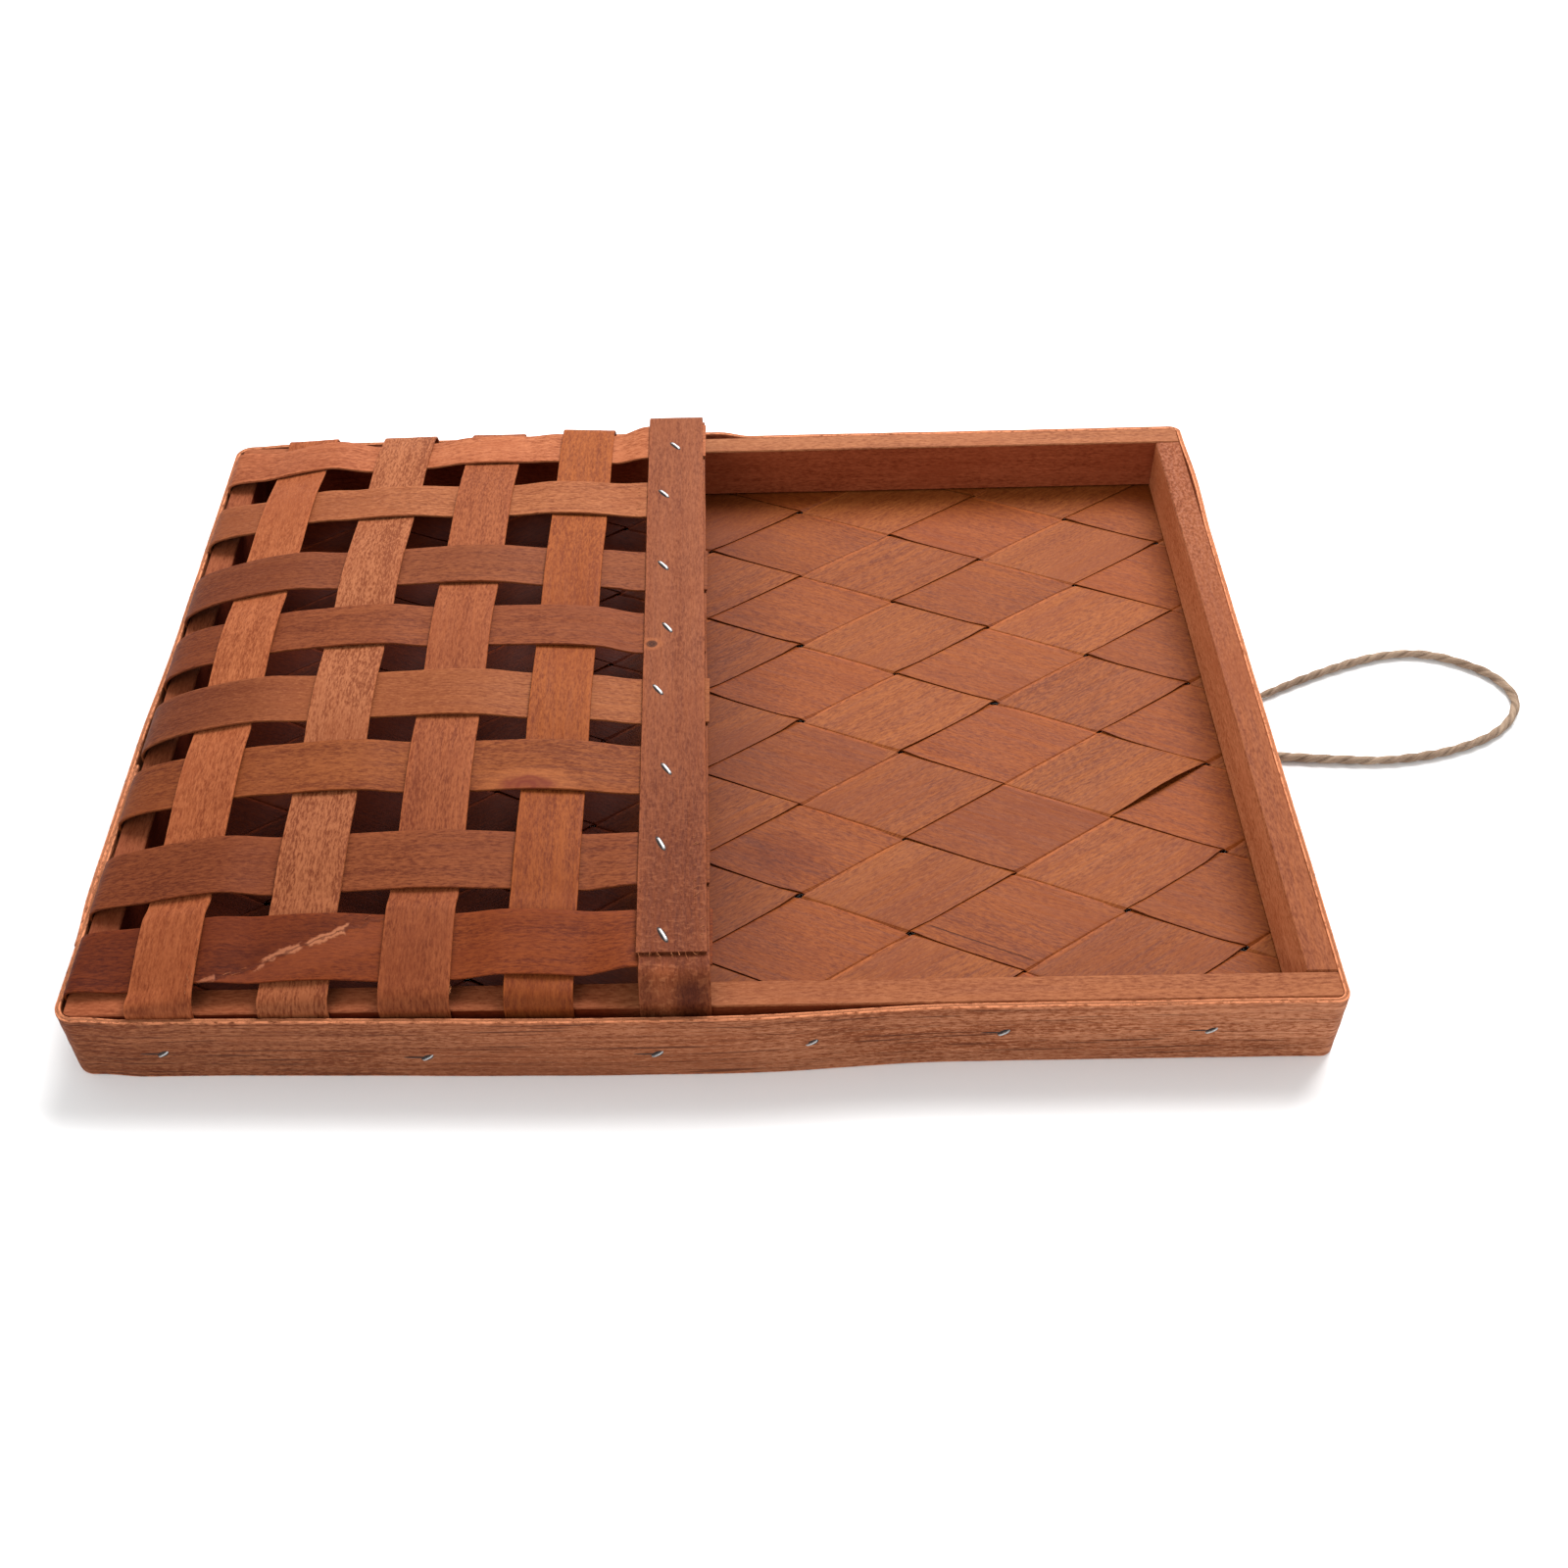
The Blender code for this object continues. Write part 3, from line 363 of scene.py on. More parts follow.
def surface(work, shader, colour, roughness, strength=0.0, depth=0.0, height=None, specular=None):
    """Feeds a finish its colour and roughness, and a bump where a height is given."""
    work.feed(shader.inputs["Base Color"], colour)
    work.feed(shader.inputs["Roughness"], roughness)
    if height:
        bump = {"Strength": strength, "Distance": depth, "Height": height}
        work.feed(shader.inputs["Normal"], work.add("ShaderNodeBump", {}, bump, "Normal"))
    if specular is not None:
        shader.inputs["Specular IOR Level"].default_value = specular


def grain_place(work, axis=None):
    """Where a point lies in its own board: along the grain, across it, and which board."""
    if axis is None:
        return work.kept("grain")
    turn = 0.0 if axis == "X" else -math.pi / 2
    return work.add("ShaderNodeMapping", {}, {"Vector": work.here(), "Rotation": (0.0, 0.0, turn)})


def share_of(colour, shares):
    return (*(min(1.0, c * share) for c, share in zip(colour, shares)), 1.0)


def swayed(work, place, along, across, amount):
    """Grain that sways off its line."""
    sway = work.stray(work.scaled(place, along, across), 2.0, 0.5, 1.0, amount)
    return work.vectors("ADD", place, work.vector(0.0, sway, 0.0))


def wood_finish(
    name, colour, shade=(1, 1, 1), axis=None, coarse=1.0, contrast=1.0, relief=1.0, roughness=0.68, pale_edge_strength=0.5,
    marks=(), pale_edge_lightness=1.4, over=(),
):
    """Stained wood: streaks of grain, short flecks, specks, pores, uneven stain, pale edges and marks; the
    pale edges are wear, and on the back's strips also a painted highlight on the far edge.
    """
    settings = bpy.context.scene.basket_wood
    body = [c * s * settings.brightness for c, s in zip(colour, shade)]
    deep, pale, blush = (
        share_of(body, shares) for shares in ((0.62, 0.46, 0.33), (1.34, 1.52, 1.70), (0.82, 0.66, 0.54)))
    material, work, shader = new_finish(name)
    place = swayed(work, grain_place(work, axis), 11, 45, 0.0040 * coarse)

    def grain(along, across, detail, rough=0.5):
        return work.noise(work.scaled(place, along, across), detail, rough)

    figure = grain(7 / coarse, 170 / coarse, 2.0, 0.55)
    streak = grain(36 / coarse, 760 / coarse, 2.0, 0.6)
    fleck = grain(380, 1400, 3.0, 0.72)
    cloud = grain(21, 34, 4.0, 0.62)
    pores = work.step(grain(150 / coarse, 2300 / coarse, 1.0), 0.66, 0.74)
    tone = (figure - 0.5) * 0.70 + (streak - 0.5) * 0.80 + (fleck - 0.5) * 2.5 + (cloud - 0.5) * 0.75
    tone = tone * contrast + 0.5
    colour = work.blend(work.step(tone, 0.12, 0.5, False), deep, (*body, 1.0))
    colour = work.blend(work.step(tone, 0.5, 0.92, False), colour, pale)
    colour = work.blend(work.step(cloud, 0.50, 0.72) * 0.55, colour, blush)
    colour = work.blend(work.step(grain(8, 13, 2.0), 0.48, 0.72) * 0.50, colour, blush)
    colour = work.blend(pores * 0.35, colour, deep)
    colour = work.blend(work.step(grain(480, 1900, 1.0), 0.58, 0.70) * (0.58 * contrast), colour, pale)
    height = figure * 0.45 + streak * 0.5 + fleck * 0.5 - pores * 0.25
    for mark in marks:
        colour, height = mark(work, colour, height)
    # Pale edges: worn wood, and on the back's strips also a painted highlight on the far edge
    if axis is None:
        wear = work.step(work.kept("wear", "Fac"), 0.0, 1.0, False)
        colour = work.blend(wear * pale_edge_strength * work.step(fleck, 0.30, 0.60), colour, share_of(body, (pale_edge_lightness,) * 3))
    for mark in over:
        colour, height = mark(work, colour, height)
    surface(
        work, shader, colour, roughness + (streak - 0.5) * 0.22, 0.8, settings.relief * relief, height, 0.12)
    return material


# Marks on the wood

def mark(paint):
    """A mark, from what paints it: called with its own values, it gives what wood_finish calls."""
    def with_values(*values, **named):
        return lambda work, colour, height: paint(work, colour, height, *values, **named)
    return with_values


def spot_distance(work, centre, size):
    """1 on an oval round a spot of the tray, 0 at its middle, with a ragged outline."""
    here = work.here()
    offset = work.vectors("ADD", here, (-centre[0], -centre[1], 0.0))
    shares = work.vectors("MULTIPLY", offset, (1 / size[0], 1 / size[1], 0.0))
    return work.vectors("LENGTH", shares, output="Value") + work.stray(here, 2.0, 0.5, 220.0, 0.5)


def line_mask(work, start, end, width, wobble=0.0006):
    """1 along a line between two places of the tray, how far a point lies to its left, and 1 beside it."""
    here = work.here()
    run = Vector((end[0] - start[0], end[1] - start[1], 0))
    offset = work.vectors("ADD", here, (-start[0], -start[1], 0.0))
    place, side = (
        work.vectors("DOT_PRODUCT", offset, tuple(direction.normalized()), output="Value")
        for direction in (run, Vector((-run.y, run.x, 0))))
    side = side + work.stray(here, 3.0, 0.6, 260.0, wobble)
    inside = work.bump(place, 0.0, 0.0015, run.length - 0.0015, run.length)
    return work.fall(abs(side), width * 0.5, width) * inside, side, inside


@mark
def knot(work, colour, height, centre, size, dark, strength=0.8):
    """A small knot: dark heart, darker rim and a warm halo."""
    away = spot_distance(work, centre, size)
    heart = work.fall(away, 0.55, 1.05)
    rings = work.maths("SINE", away * 16) * 0.5 + 0.5
    colour = work.blend(work.fall(away, 1.0, 1.9) * 0.25, colour, stain(205, 122, 70))
    return work.blend(heart * (strength - rings * 0.25), colour, dark), height + heart * 0.4


@mark
def split(work, colour, height, start, end, width=0.0003):
    """A fine dark split in the wood."""
    line, _, _ = line_mask(work, start, end, width)
    return work.blend(line * 0.85, colour, stain(70, 28, 14)), height - line * 1.5


@mark
def torn_line(work, colour, height, start, end):
    """A long slanting tear: darker wood above it, smooth wood below and pale frayed fibres along it."""
    line, side, inside = line_mask(work, start, end, 0.0019, 0.004)
    frayed = line * work.step(work.noise(work.here(), 2.0, 0.55, 110.0), 0.50, 0.55)
    above = work.bump(side, 0.0, 0.0008, 0.0035, 0.0110) * inside
    below = work.bump(side * -1, 0.0004, 0.0012, 0.0050, 0.0120) * inside
    colour = work.tint(above * 0.6, colour, (0.60, 0.50, 0.46))
    colour = work.blend(below * 0.30, colour, stain(160, 82, 46))
    colour = work.blend(frayed * 0.80, colour, stain(198, 126, 86))
    seam = work.fall(abs(side), 0.0002, 0.0005) * inside
    return work.blend(seam * 0.6, colour, stain(92, 40, 22)), height + frayed * 1.5 - above * 0.5


@mark
def rough_patch(work, colour, height):
    """Darker, crosswise rippled wood towards the rim's right end."""
    here = work.here()
    near = work.fall(work.part(here, 1) + work.stray(here, 3.0, 0.6, 60.0, 0.05), -0.125, -0.030)
    ripple = work.noise(work.vectors("MULTIPLY", here, (430, 640, 430)), 3.0, 0.6)
    colour = work.tint(near * (ripple * 0.5 + 0.45), colour, (0.66, 0.55, 0.50))
    colour = work.blend(near * work.step(ripple, 0.50, 0.66) * 0.30, colour, stain(182, 114, 78))
    return colour, height + near * ripple * 2.6


@mark
def painted_light_and_shade_below(work, colour, height, limit, shares):
    """Painted light and shade on the parts below a height, such as a rail's side faces, tinted darker or
    lighter for how the light falls on them.
    """
    return work.tint(work.fall(work.part(work.here(), 2), limit - 0.0008, limit), colour, shares), height


@mark
def painted_pocket_shade(work, colour, height, low, high=1.0, shares=(0.60, 0.28, 0.12)):
    """Painted shade inside the pocket, between two heights: the wood darkened where little light gets in
    under the splints.
    """
    x, z = (work.part(work.here(), axis) for axis in (0, 2))
    inside = work.fall(x, -0.034, -0.010) * work.bump(z, low, low + 0.0002, high - 0.0006, high)
    return work.tint(inside * 0.85, colour, shares), height


@mark
def painted_shade_fade(work, colour, height, shares, axis, start, end):
    """Painted shade, darker at one place and fading out towards another, along X (0) or Y (1)."""
    return work.tint(work.fall(work.part(work.here(), axis), start, end, False), colour, shares), height


@mark
def soft_spot(work, colour, height, centre, size, shares):
    """A soft spot where the colour is tinted by the given shares."""
    return work.tint(work.fall(spot_distance(work, centre, size), 0.35, 1.25), colour, shares), height


@mark
def weathered(work, colour, height, start, end):
    """Rough, dusty wood with small dark pits, from one place across the tray to another."""
    here = work.here()
    near = work.step(work.part(here, 1) + work.stray(here, 3.0, 0.6, 45.0, 0.10), start, end)
    near = near * work.step(work.part(here, 2), BAND_HEIGHT - 0.0008, BAND_HEIGHT - 0.0002)
    grit = work.noise(work.vectors("MULTIPLY", here, (900, 620, 700)), 3.0, 0.7)
    colour = work.blend(near * work.fall(grit, 0.40, 0.52) * 0.32, colour, stain(186, 124, 96))
    pits = near * work.step(grit, 0.54, 0.64)
    return work.blend(pits * 0.45, colour, stain(112, 60, 38)), height - pits * 0.8


@mark
def sawn_ridges(work, colour, height):
    """Fine dark furrows and short checks along the band's grain."""
    place = swayed(work, grain_place(work), 14, 60, 0.0030)
    furrow = work.step(work.noise(work.scaled(place, 10, 700), 3.0, 0.6), 0.48, 0.60)
    fine = work.step(work.noise(work.scaled(place, 16, 1800), 2.0), 0.48, 0.62)
    check = work.step(work.noise(work.scaled(place, 24, 1100), 1.0), 0.65, 0.71)
    colour = work.tint(furrow * 0.50, colour, (0.62, 0.50, 0.42))
    colour = work.tint(fine * 0.38, colour, (0.66, 0.55, 0.46))
    return work.blend(check * 0.75, colour, stain(84, 40, 24)), height - furrow * 0.5 - check * 0.9


# Other finishes

def steel_finish():
    material, work, shader = new_finish("staple_steel")
    scuff = work.noise(work.here(), 3.0, 0.6, 900.0)
    colour = work.blend(work.step(scuff, 0.50, 0.75), (0.50, 0.50, 0.50, 1.0), (0.27, 0.26, 0.25, 1.0))
    shader.inputs["Metallic"].default_value = 1.0
    surface(work, shader, colour, scuff * 0.25 + 0.42, 0.3, 0.00005, scuff)
    return material


# Painted shadow: near black in the dents round the staples' crowns, and the dark of the splits beside the
# band staples
def shadow_and_split_finish():
    material, work, shader = new_finish("staple_bruise")
    speck = work.noise(work.here(), 2.0, 0.6, 1500.0)
    surface(work, shader, work.blend(speck, stain(12, 7, 5), stain(54, 28, 18)), speck * 0.2 + 0.7)
    return material


def twine_finish(name, pale, dark):
    """Undyed plant fibre: fine strands along each ply, with painted shade where the plies meet."""
    material, work, shader = new_finish(name)
    place = work.kept("grain")
    strand = work.noise(work.scaled(place, 130, 2600), 3.0, 0.70)
    tone = strand * 0.65 + work.noise(work.scaled(place, 55, 90), 2.0) * 0.35
    colour = work.blend(work.step(tone, 0.36, 0.64, False), dark, pale)
    # Painted shade in the grooves between the plies
    colour = work.blend(work.kept("wear", "Fac") * 0.75, colour, share_of(dark[:3], (0.40,) * 3))
    surface(work, shader, colour, strand * 0.1 + 0.85, 0.8, 0.0003, strand, 0.2)
    return material


# Meshes

def show(name, mesh, material=None):
    if material:
        mesh.materials.clear()
        mesh.materials.append(material)
    piece = bpy.data.objects.new(name, mesh)
    bpy.context.scene.collection.objects.link(piece)
    return piece


def settle(piece, body, nodes=()):
    """Fixes a finished piece to its body and the solids that it stands for."""
    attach(piece, body)
    if nodes:
        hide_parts(*nodes)


def new_mesh(name, points, faces=(), edges=()):
    mesh = bpy.data.meshes.new(name)
    mesh.from_pydata([tuple(p) for p in points], list(edges), list(faces))
    return mesh


def keep(mesh, grain, wear, angle=40):
    """Keeps where a mesh's points lie in the grain, with a share per point (a wooden edge's wear, a twine
    groove's painted shade), and shades it smooth.
    """
    mesh.attributes.new("grain", "FLOAT_VECTOR", "POINT").data.foreach_set("vector", grain)
    mesh.attributes.new("wear", "FLOAT", "POINT").data.foreach_set("value", wear)
    smooth_shade(mesh, angle)


def smooth_shade(mesh, angle):
    mesh.shade_smooth()
    mesh.set_sharp_from_angle(angle=math.radians(angle))


def wave(*place):
    """A smooth number from -1 to 1 that is the same for the same place."""
    x, y, z = (*place, 0.0, 0.0)[:3]
    return noise.noise(Vector((x + 0.37, y + 0.71, z + 0.13)))


def eased(share):
    return (1 - math.cos(math.pi * min(1, max(0, share)))) / 2


def span(start, end, pitch=0.003):
    steps = max(2, round(abs(end - start) / pitch))
    return [start + (end - start) * step / steps for step in range(steps + 1)]


COLUMNS = (-1, -0.985, -0.93, -0.8, -0.6, -0.4, -0.2, 0, 0.2, 0.4, 0.6, 0.8, 0.93, 0.985, 1)
EDGE_ROUNDNESS = {1: 0.35, 0.985: 0.86}


def ribbon(name, pairs, thickness, seed, material, wander=1.0, shape=None, worn_width=0.0012):
    """A thin strip of wood with soft, slightly wandering edges, laid through pairs of edge points.

    shape gives, for a place along the strip and a column, how far its face is raised and sunk.
    """
    settings = bpy.context.scene.basket_wood
    first, second = (np.array([tuple(pair[side]) for pair in pairs]) for side in (0, 1))
    middle = (first + second) / 2
    along = np.concatenate([[0.0], np.cumsum(np.linalg.norm(np.diff(middle, axis=0), axis=1))])
    half_widths = np.linalg.norm(second - first, axis=1) / 2
    rows, columns = len(pairs), len(COLUMNS)
    grid = np.zeros((rows, columns, 3))
    for i in range(rows):
        strays = [
            (wave(along[i] * 30, side * 7.3, seed) + 0.4 * wave(along[i] * 150, side * 3.1, seed))
            * settings.edge_wander * wander / max(half_widths[i], 1e-6) for side in (-1, 1)]
        for j, column in enumerate(COLUMNS):
            stretch = 1 + strays[column >= 0] * abs(column) ** 3
            grid[i, j] = middle[i] + (second[i] - first[i]) / 2 * column * stretch
    normal = np.cross(np.gradient(grid, axis=0), np.gradient(grid, axis=1))
    normal /= np.maximum(np.linalg.norm(normal, axis=2, keepdims=True), 1e-12)
    top, under = np.zeros_like(grid), np.zeros_like(grid)
    for i in range(rows):
        for j, column in enumerate(COLUMNS):
            rise = settings.ripple * wave(along[i] * 45, column * 2.2, seed + 5.0)
            raised, sunk = shape(along[i], column) if shape else (0.0, 0.0)
            half = thickness / 2 * EDGE_ROUNDNESS.get(abs(column), 1.0)
            top[i, j] = grid[i, j] + normal[i, j] * (half + rise + raised)
            under[i, j] = grid[i, j] - normal[i, j] * (half - rise + sunk)

    def at(i, j, lower=False):
        return i * columns + j + (rows * columns if lower else 0)

    faces = []
    last = columns - 1
    for i in range(rows - 1):
        for j in range(last):
            faces.append((at(i, j), at(i + 1, j), at(i + 1, j + 1), at(i, j + 1)))
            faces.append((at(i, j + 1, 1), at(i + 1, j + 1, 1), at(i + 1, j, 1), at(i, j, 1)))
        faces.append((at(i, 0, 1), at(i + 1, 0, 1), at(i + 1, 0), at(i, 0)))
        faces.append((at(i, last), at(i + 1, last), at(i + 1, last, 1), at(i, last, 1)))
    for j in range(last):
        faces.append((at(0, j), at(0, j + 1), at(0, j + 1, 1), at(0, j, 1)))
        faces.append((at(rows - 1, j, 1), at(rows - 1, j + 1, 1), at(rows - 1, j + 1), at(rows - 1, j)))
    mesh = new_mesh(name, np.concatenate([top.reshape(-1, 3), under.reshape(-1, 3)]).tolist(), faces)
    grain, wear = [], []
    for lower in (0, 1):
        for i in range(rows):
            for column in COLUMNS:
                grain += [along[i], half_widths[i] * column, seed * 0.171 + lower * 0.05]
                wear.append(max(0.0, 1 - (1 - abs(column)) * half_widths[i] / worn_width))
    keep(mesh, grain, wear)
    return show(name, mesh, material)


def smooth_route(route, pitch):
    """Points about one pitch apart on a smooth curve through the route's own points."""
    knots = [Vector(point) for point in route]
    knots = [2 * knots[0] - knots[1], *knots, 2 * knots[-1] - knots[-2]]
    fine = []
    for a, b, c, d in zip(knots, knots[1:], knots[2:], knots[3:]):
        pieces = max(1, round((c - b).length / pitch))
        for step in range(pieces):
            t = step / pieces
            curve = 2 * b + (c - a) * t + (2 * a - 5 * b + 4 * c - d) * t**2
            fine.append((curve + (3 * b - a - 3 * c + d) * t**3) / 2)
    return [*fine, knots[-2]]


# Geometry node trees

class Growth(Work):
    """Adds nodes to a geometry tree that starts with a guide mesh and named inputs."""

    def __init__(self, name, **kinds):
        super().__init__(bpy.data.node_groups.new(name, "GeometryNodeTree"))
        face = self.tree.interface
        face.new_socket("Geometry", in_out="INPUT", socket_type="NodeSocketGeometry")
        for kind, labels in kinds.items():
            for label in labels.split(", "):
                face.new_socket(label, in_out="INPUT", socket_type="NodeSocket" + kind)
        face.new_socket("Geometry", in_out="OUTPUT", socket_type="NodeSocketGeometry")
        start = self.tree.nodes.new("NodeGroupInput")
        self.inputs = {s.name: Value(self, s) for s in start.outputs if s.name}

    def __getitem__(self, name):
        return self.inputs[name]

    def shape(self, kind, settings=None, **inputs):
        """A geometry node, with its sockets named in words joined by underscores."""
        named = {key.replace("_", " "): value for key, value in inputs.items()}
        return self.add("GeometryNode" + kind, settings, named)

    def store(self, shape, name, kind, value):
        return self.shape(
            "StoreNamedAttribute", {"data_type": kind, "domain": "POINT"}, Geometry=shape, Name=name,
            Value=value)

    def stored(self, name, kind):
        return self.add("GeometryNodeInputNamedAttribute", {"data_type": kind}, {"Name": name}, "Attribute")

    def guide(self, name):
        return self.add("GeometryNodeObjectInfo", {}, {"Object": self[name]}, "Geometry")

    def rectangle(self, width, height):
        return self.shape("CurvePrimitiveQuadrilateral", {"mode": "RECTANGLE"}, Width=width, Height=height)

    def swept(self, line, outline):
        return self.shape("CurveToMesh", Curve=line, Profile_Curve=outline, Fill_Caps=True)

    def end(self, shape, material=None):
        """Ends the tree: its instances made real, in the piece's material unless they have their own."""
        shape = self.shape("RealizeInstances", Geometry=shape)
        if material:
            shape = self.shape("SetMaterial", Geometry=shape, Material=material)
        self.feed(self.tree.nodes.new("NodeGroupOutput").inputs[0], shape)
        return self.tree


def grow(name, guide, tree, values):
    """A plain mesh that a tree makes from a guide mesh."""
    carrier = show(name + "_guide", guide)
    modifier = carrier.modifiers.new("grow", "NODES")
    modifier.node_group = tree
    for item in tree.interface.items_tree:
        if item.in_out == "INPUT" and item.name in values:
            modifier[item.identifier] = values[item.name]
    graph = bpy.context.evaluated_depsgraph_get()
    mesh = bpy.data.meshes.new_from_object(
        carrier.evaluated_get(graph), preserve_all_data_layers=True, depsgraph=graph)
    mesh.name = name
    carrier.modifiers.remove(modifier)
    bpy.data.objects.remove(carrier)
    return mesh


def line_mesh(name, points):
    return new_mesh(name, points, edges=[(i, i + 1) for i in range(len(points) - 1)])


def woven_strip_tree():
    """A strip that passes over and under strips at an even pitch, from a line along X."""
    work = Growth(
        "woven_strip",
        Float="Width, Thickness, Pitch, First Crossing, First Side, Swing, Curl, Slit, Wander, Ripple, Seed, "
        "Skew, Turn, Pinch, Tilt", Vector="Place", Material="Material")
    x = work.part(work.shape("InputPosition"), 0)
    cell = (x - work["First Crossing"]) / work["Pitch"]
    number = work.maths("FLOOR", cell)
    far = abs((cell - number) * 2 - 1)
    side = 1 - work.maths("FLOORED_MODULO", number + work["First Side"], 2.0) * 2
    height = side * work.step((1 - far) * work["Pitch"] / work["Slit"], 0.0, 1.0) * work["Swing"]
    line = work.shape("MeshToCurve", Mesh=work["Geometry"])
    line = work.shape("SetPosition", Geometry=line, Offset=work.vector(0.0, 0.0, height))
    line = work.shape("SetCurveNormal", {"mode": "Z_UP"}, Curve=line)
    line = work.store(line, "run", "FLOAT", x)
    outline = work.shape("SubdivideCurve", Curve=work.rectangle(work["Width"], work["Thickness"]), Cuts=5)
    strip = work.swept(line, outline)

    station = work.stored("run", "FLOAT")
    across = work.part(work.shape("InputPosition"), 1)
    slide = across * work["Skew"] * -1
    run = station + slide
    share = across / work["Width"] * 2
    stray = work.noise(work.vector(run * 34, work["Seed"], share), 2.0) - 0.5
    swell = work.noise(work.vector(run * 50, across * 80, work["Seed"]), 1.0) - 0.5
    cube = share * share * share
    lift = work.noise(work.vector(run * 26, work["Seed"], share * 0.8 + 7.0), 1.0) - 0.40
    lift = lift * (1 - share) * 0.5
    corner = (station - work["First Crossing"]) / work["Pitch"]
    nearest = work.maths("ROUND", corner)
    chance = work.noise(work.vector(nearest * 3.7, work["Seed"] * 2.3, share * 1.9), 1.0)
    drawn_in = work.fall(abs(corner - nearest) * work["Pitch"], 0.0, 0.0110)
    drawn_in = drawn_in * work.step(chance, 0.40, 0.68, False) * work["Pinch"]
    strip = work.shape("SetPosition", Geometry=strip, Offset=work.vector(
        slide, cube * (stray * work["Wander"] * 2 - drawn_in),
        swell * work["Ripple"] * 2 + cube * cube * lift * work["Curl"] - share * work["Tilt"]))
    strip = work.store(strip, "grain", "FLOAT_VECTOR", work.vector(run, across, work["Seed"] * 0.171))
    # Pale far edge: worn wood and a painted highlight where the edge faces the light from behind
    strip = work.store(strip, "wear", "FLOAT", (share - 1) * work["Width"] / 0.0030 + 1)
    strip = work.shape(
        "Transform", Geometry=strip, Translation=work["Place"], Rotation=work.vector(0.0, 0.0, work["Turn"]))
    return work.end(strip, work["Material"])


def staple_tree():
    """A wire staple on each guide point, turned as the point says, in its shallow dent painted dark as its
    shadow.
    """
    work = Growth("staples", Object="Wire, Bruise", Float="Wire Width, Wire Height", Material="Steel, Dark")
    path = work.shape("MeshToCurve", Mesh=work.guide("Wire"))
    flat = work.rectangle(work["Wire Width"], work["Wire Height"])
    rounding = work["Wire Height"] * 0.35
    outline = work.shape("FilletCurve", {"mode": "POLY"}, Curve=flat, Count=3, Radius=rounding)
    wire = work.shape("SetMaterial", Geometry=work.swept(path, outline), Material=work["Steel"])
    shadow_and_split = work.shape("SetMaterial", Geometry=work.guide("Bruise"), Material=work["Dark"])
    both = work.tree.nodes.new("GeometryNodeJoinGeometry")
    work.feed(both.inputs[0], wire)
    work.feed(both.inputs[0], shadow_and_split)
    return work.end(work.shape(
        "InstanceOnPoints", Points=work["Geometry"], Instance=Value(work, both.outputs[0]),
        Rotation=work.stored("turn", "FLOAT_VECTOR")))


def fibre_tree():
    """Fine loose fibres that stand on the guide's points, each bent, turned and sized by chance."""
    work = Growth(
        "fibres", Object="Fibre", Float="Radius, Shortest, Longest, Spread", Int="Seed", Material="Material")

    def chance(kind, low, high, output):
        limits = {"Min": low, "Max": high, "Seed": work["Seed"]}
        return work.add("FunctionNodeRandomValue", {"data_type": kind}, limits, output)

    low, high = (work.vector(3.1 * sign, work["Spread"] * sign, work["Spread"] * sign) for sign in (-1, 1))
    turn = work.vectors("ADD", work.stored("turn", "FLOAT_VECTOR"), chance("FLOAT_VECTOR", low, high, 0))
    placed = work.shape(
        "InstanceOnPoints", Points=work["Geometry"], Instance=work.guide("Fibre"), Rotation=turn,
        Scale=chance("FLOAT", work["Shortest"], work["Longest"], 1))
    lines = work.shape("MeshToCurve", Mesh=work.shape("RealizeInstances", Geometry=placed))
    outline = work.shape("CurvePrimitiveCircle", {"mode": "RADIUS"}, Resolution=3, Radius=work["Radius"])
    return work.end(work.swept(lines, outline), work["Material"])


def guide_points(name, places, turns):
    """Loose points with a turn each, for a tree to put things on."""
    mesh = new_mesh(name, places)
    turn = mesh.attributes.new("turn", "FLOAT_VECTOR", "POINT")
    turn.data.foreach_set("vector", [value for t in turns for value in t])
    return mesh


def strewn(name, places, turns, line, **values):
    """Fine fibres on their places, each a small copy of one curved line."""
    fibre = show(name + "_fibre", line_mesh(name + "_fibre", line))
    mesh = grow(name, guide_points(name + "_points", places, turns), fibre_tree(), {"Fibre": fibre, **values})
    bpy.data.objects.remove(fibre)
    return mesh


# The rails

class BASKET_OT_rails(bpy.types.Operator):
    """Give the four solid rails their sawn, stained finish, with painted light and shade on their walls"""
    bl_idname = "basket.rails"
    bl_label = "Rails"

    def execute(self, context):
        # Painted shade on the walls of the left, right and lower rails, and painted light on the upper rail's
        # wall
        dull, deep, bright = (0.70, 0.52, 0.48), (1.1, 0.72, 0.65), (2.5, 3.1, 4.0)
        # Painted shade on the rails' tops inside the pocket, deeper on the lower rail
        shaded_tops, deeper_shaded_tops = (0.96, 0.77, 0.76), (0.84, 0.68, 0.66)
        for node, shade, axis, walls, top_shade, marks in (
            ("left_rail", (0.87, 0.93, 0.95), "X", deep, shaded_tops, ()),
            ("right_rail", (0.84, 0.83, 0.80), "X", dull, shaded_tops, ()),
            ("top_rail", (0.72, 0.62, 0.52), "Y", bright, shaded_tops, [weathered(-0.02, 0.10)]),
            ("bottom_rail", (0.78, 0.73, 0.70), "Y", dull, deeper_shaded_tops, ()),
        ):
            finish = wood_finish(
                f"{node}_stain", context.scene.basket_wood.rail, shade, axis, 1.3, 0.75, 1.2,
                marks=[
                    *marks, painted_light_and_shade_below(BAND_HEIGHT - 0.0002, walls),
                    # Painted shade on the rails' walls inside the pocket, then on their tops there
                    painted_pocket_shade(0.0, BAND_HEIGHT - 0.0001),
                    painted_pocket_shade(BAND_HEIGHT - 0.0004, shares=top_shade)])
            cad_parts[node].material_slots[0].material = finish
        return {"FINISHED"}


# The band

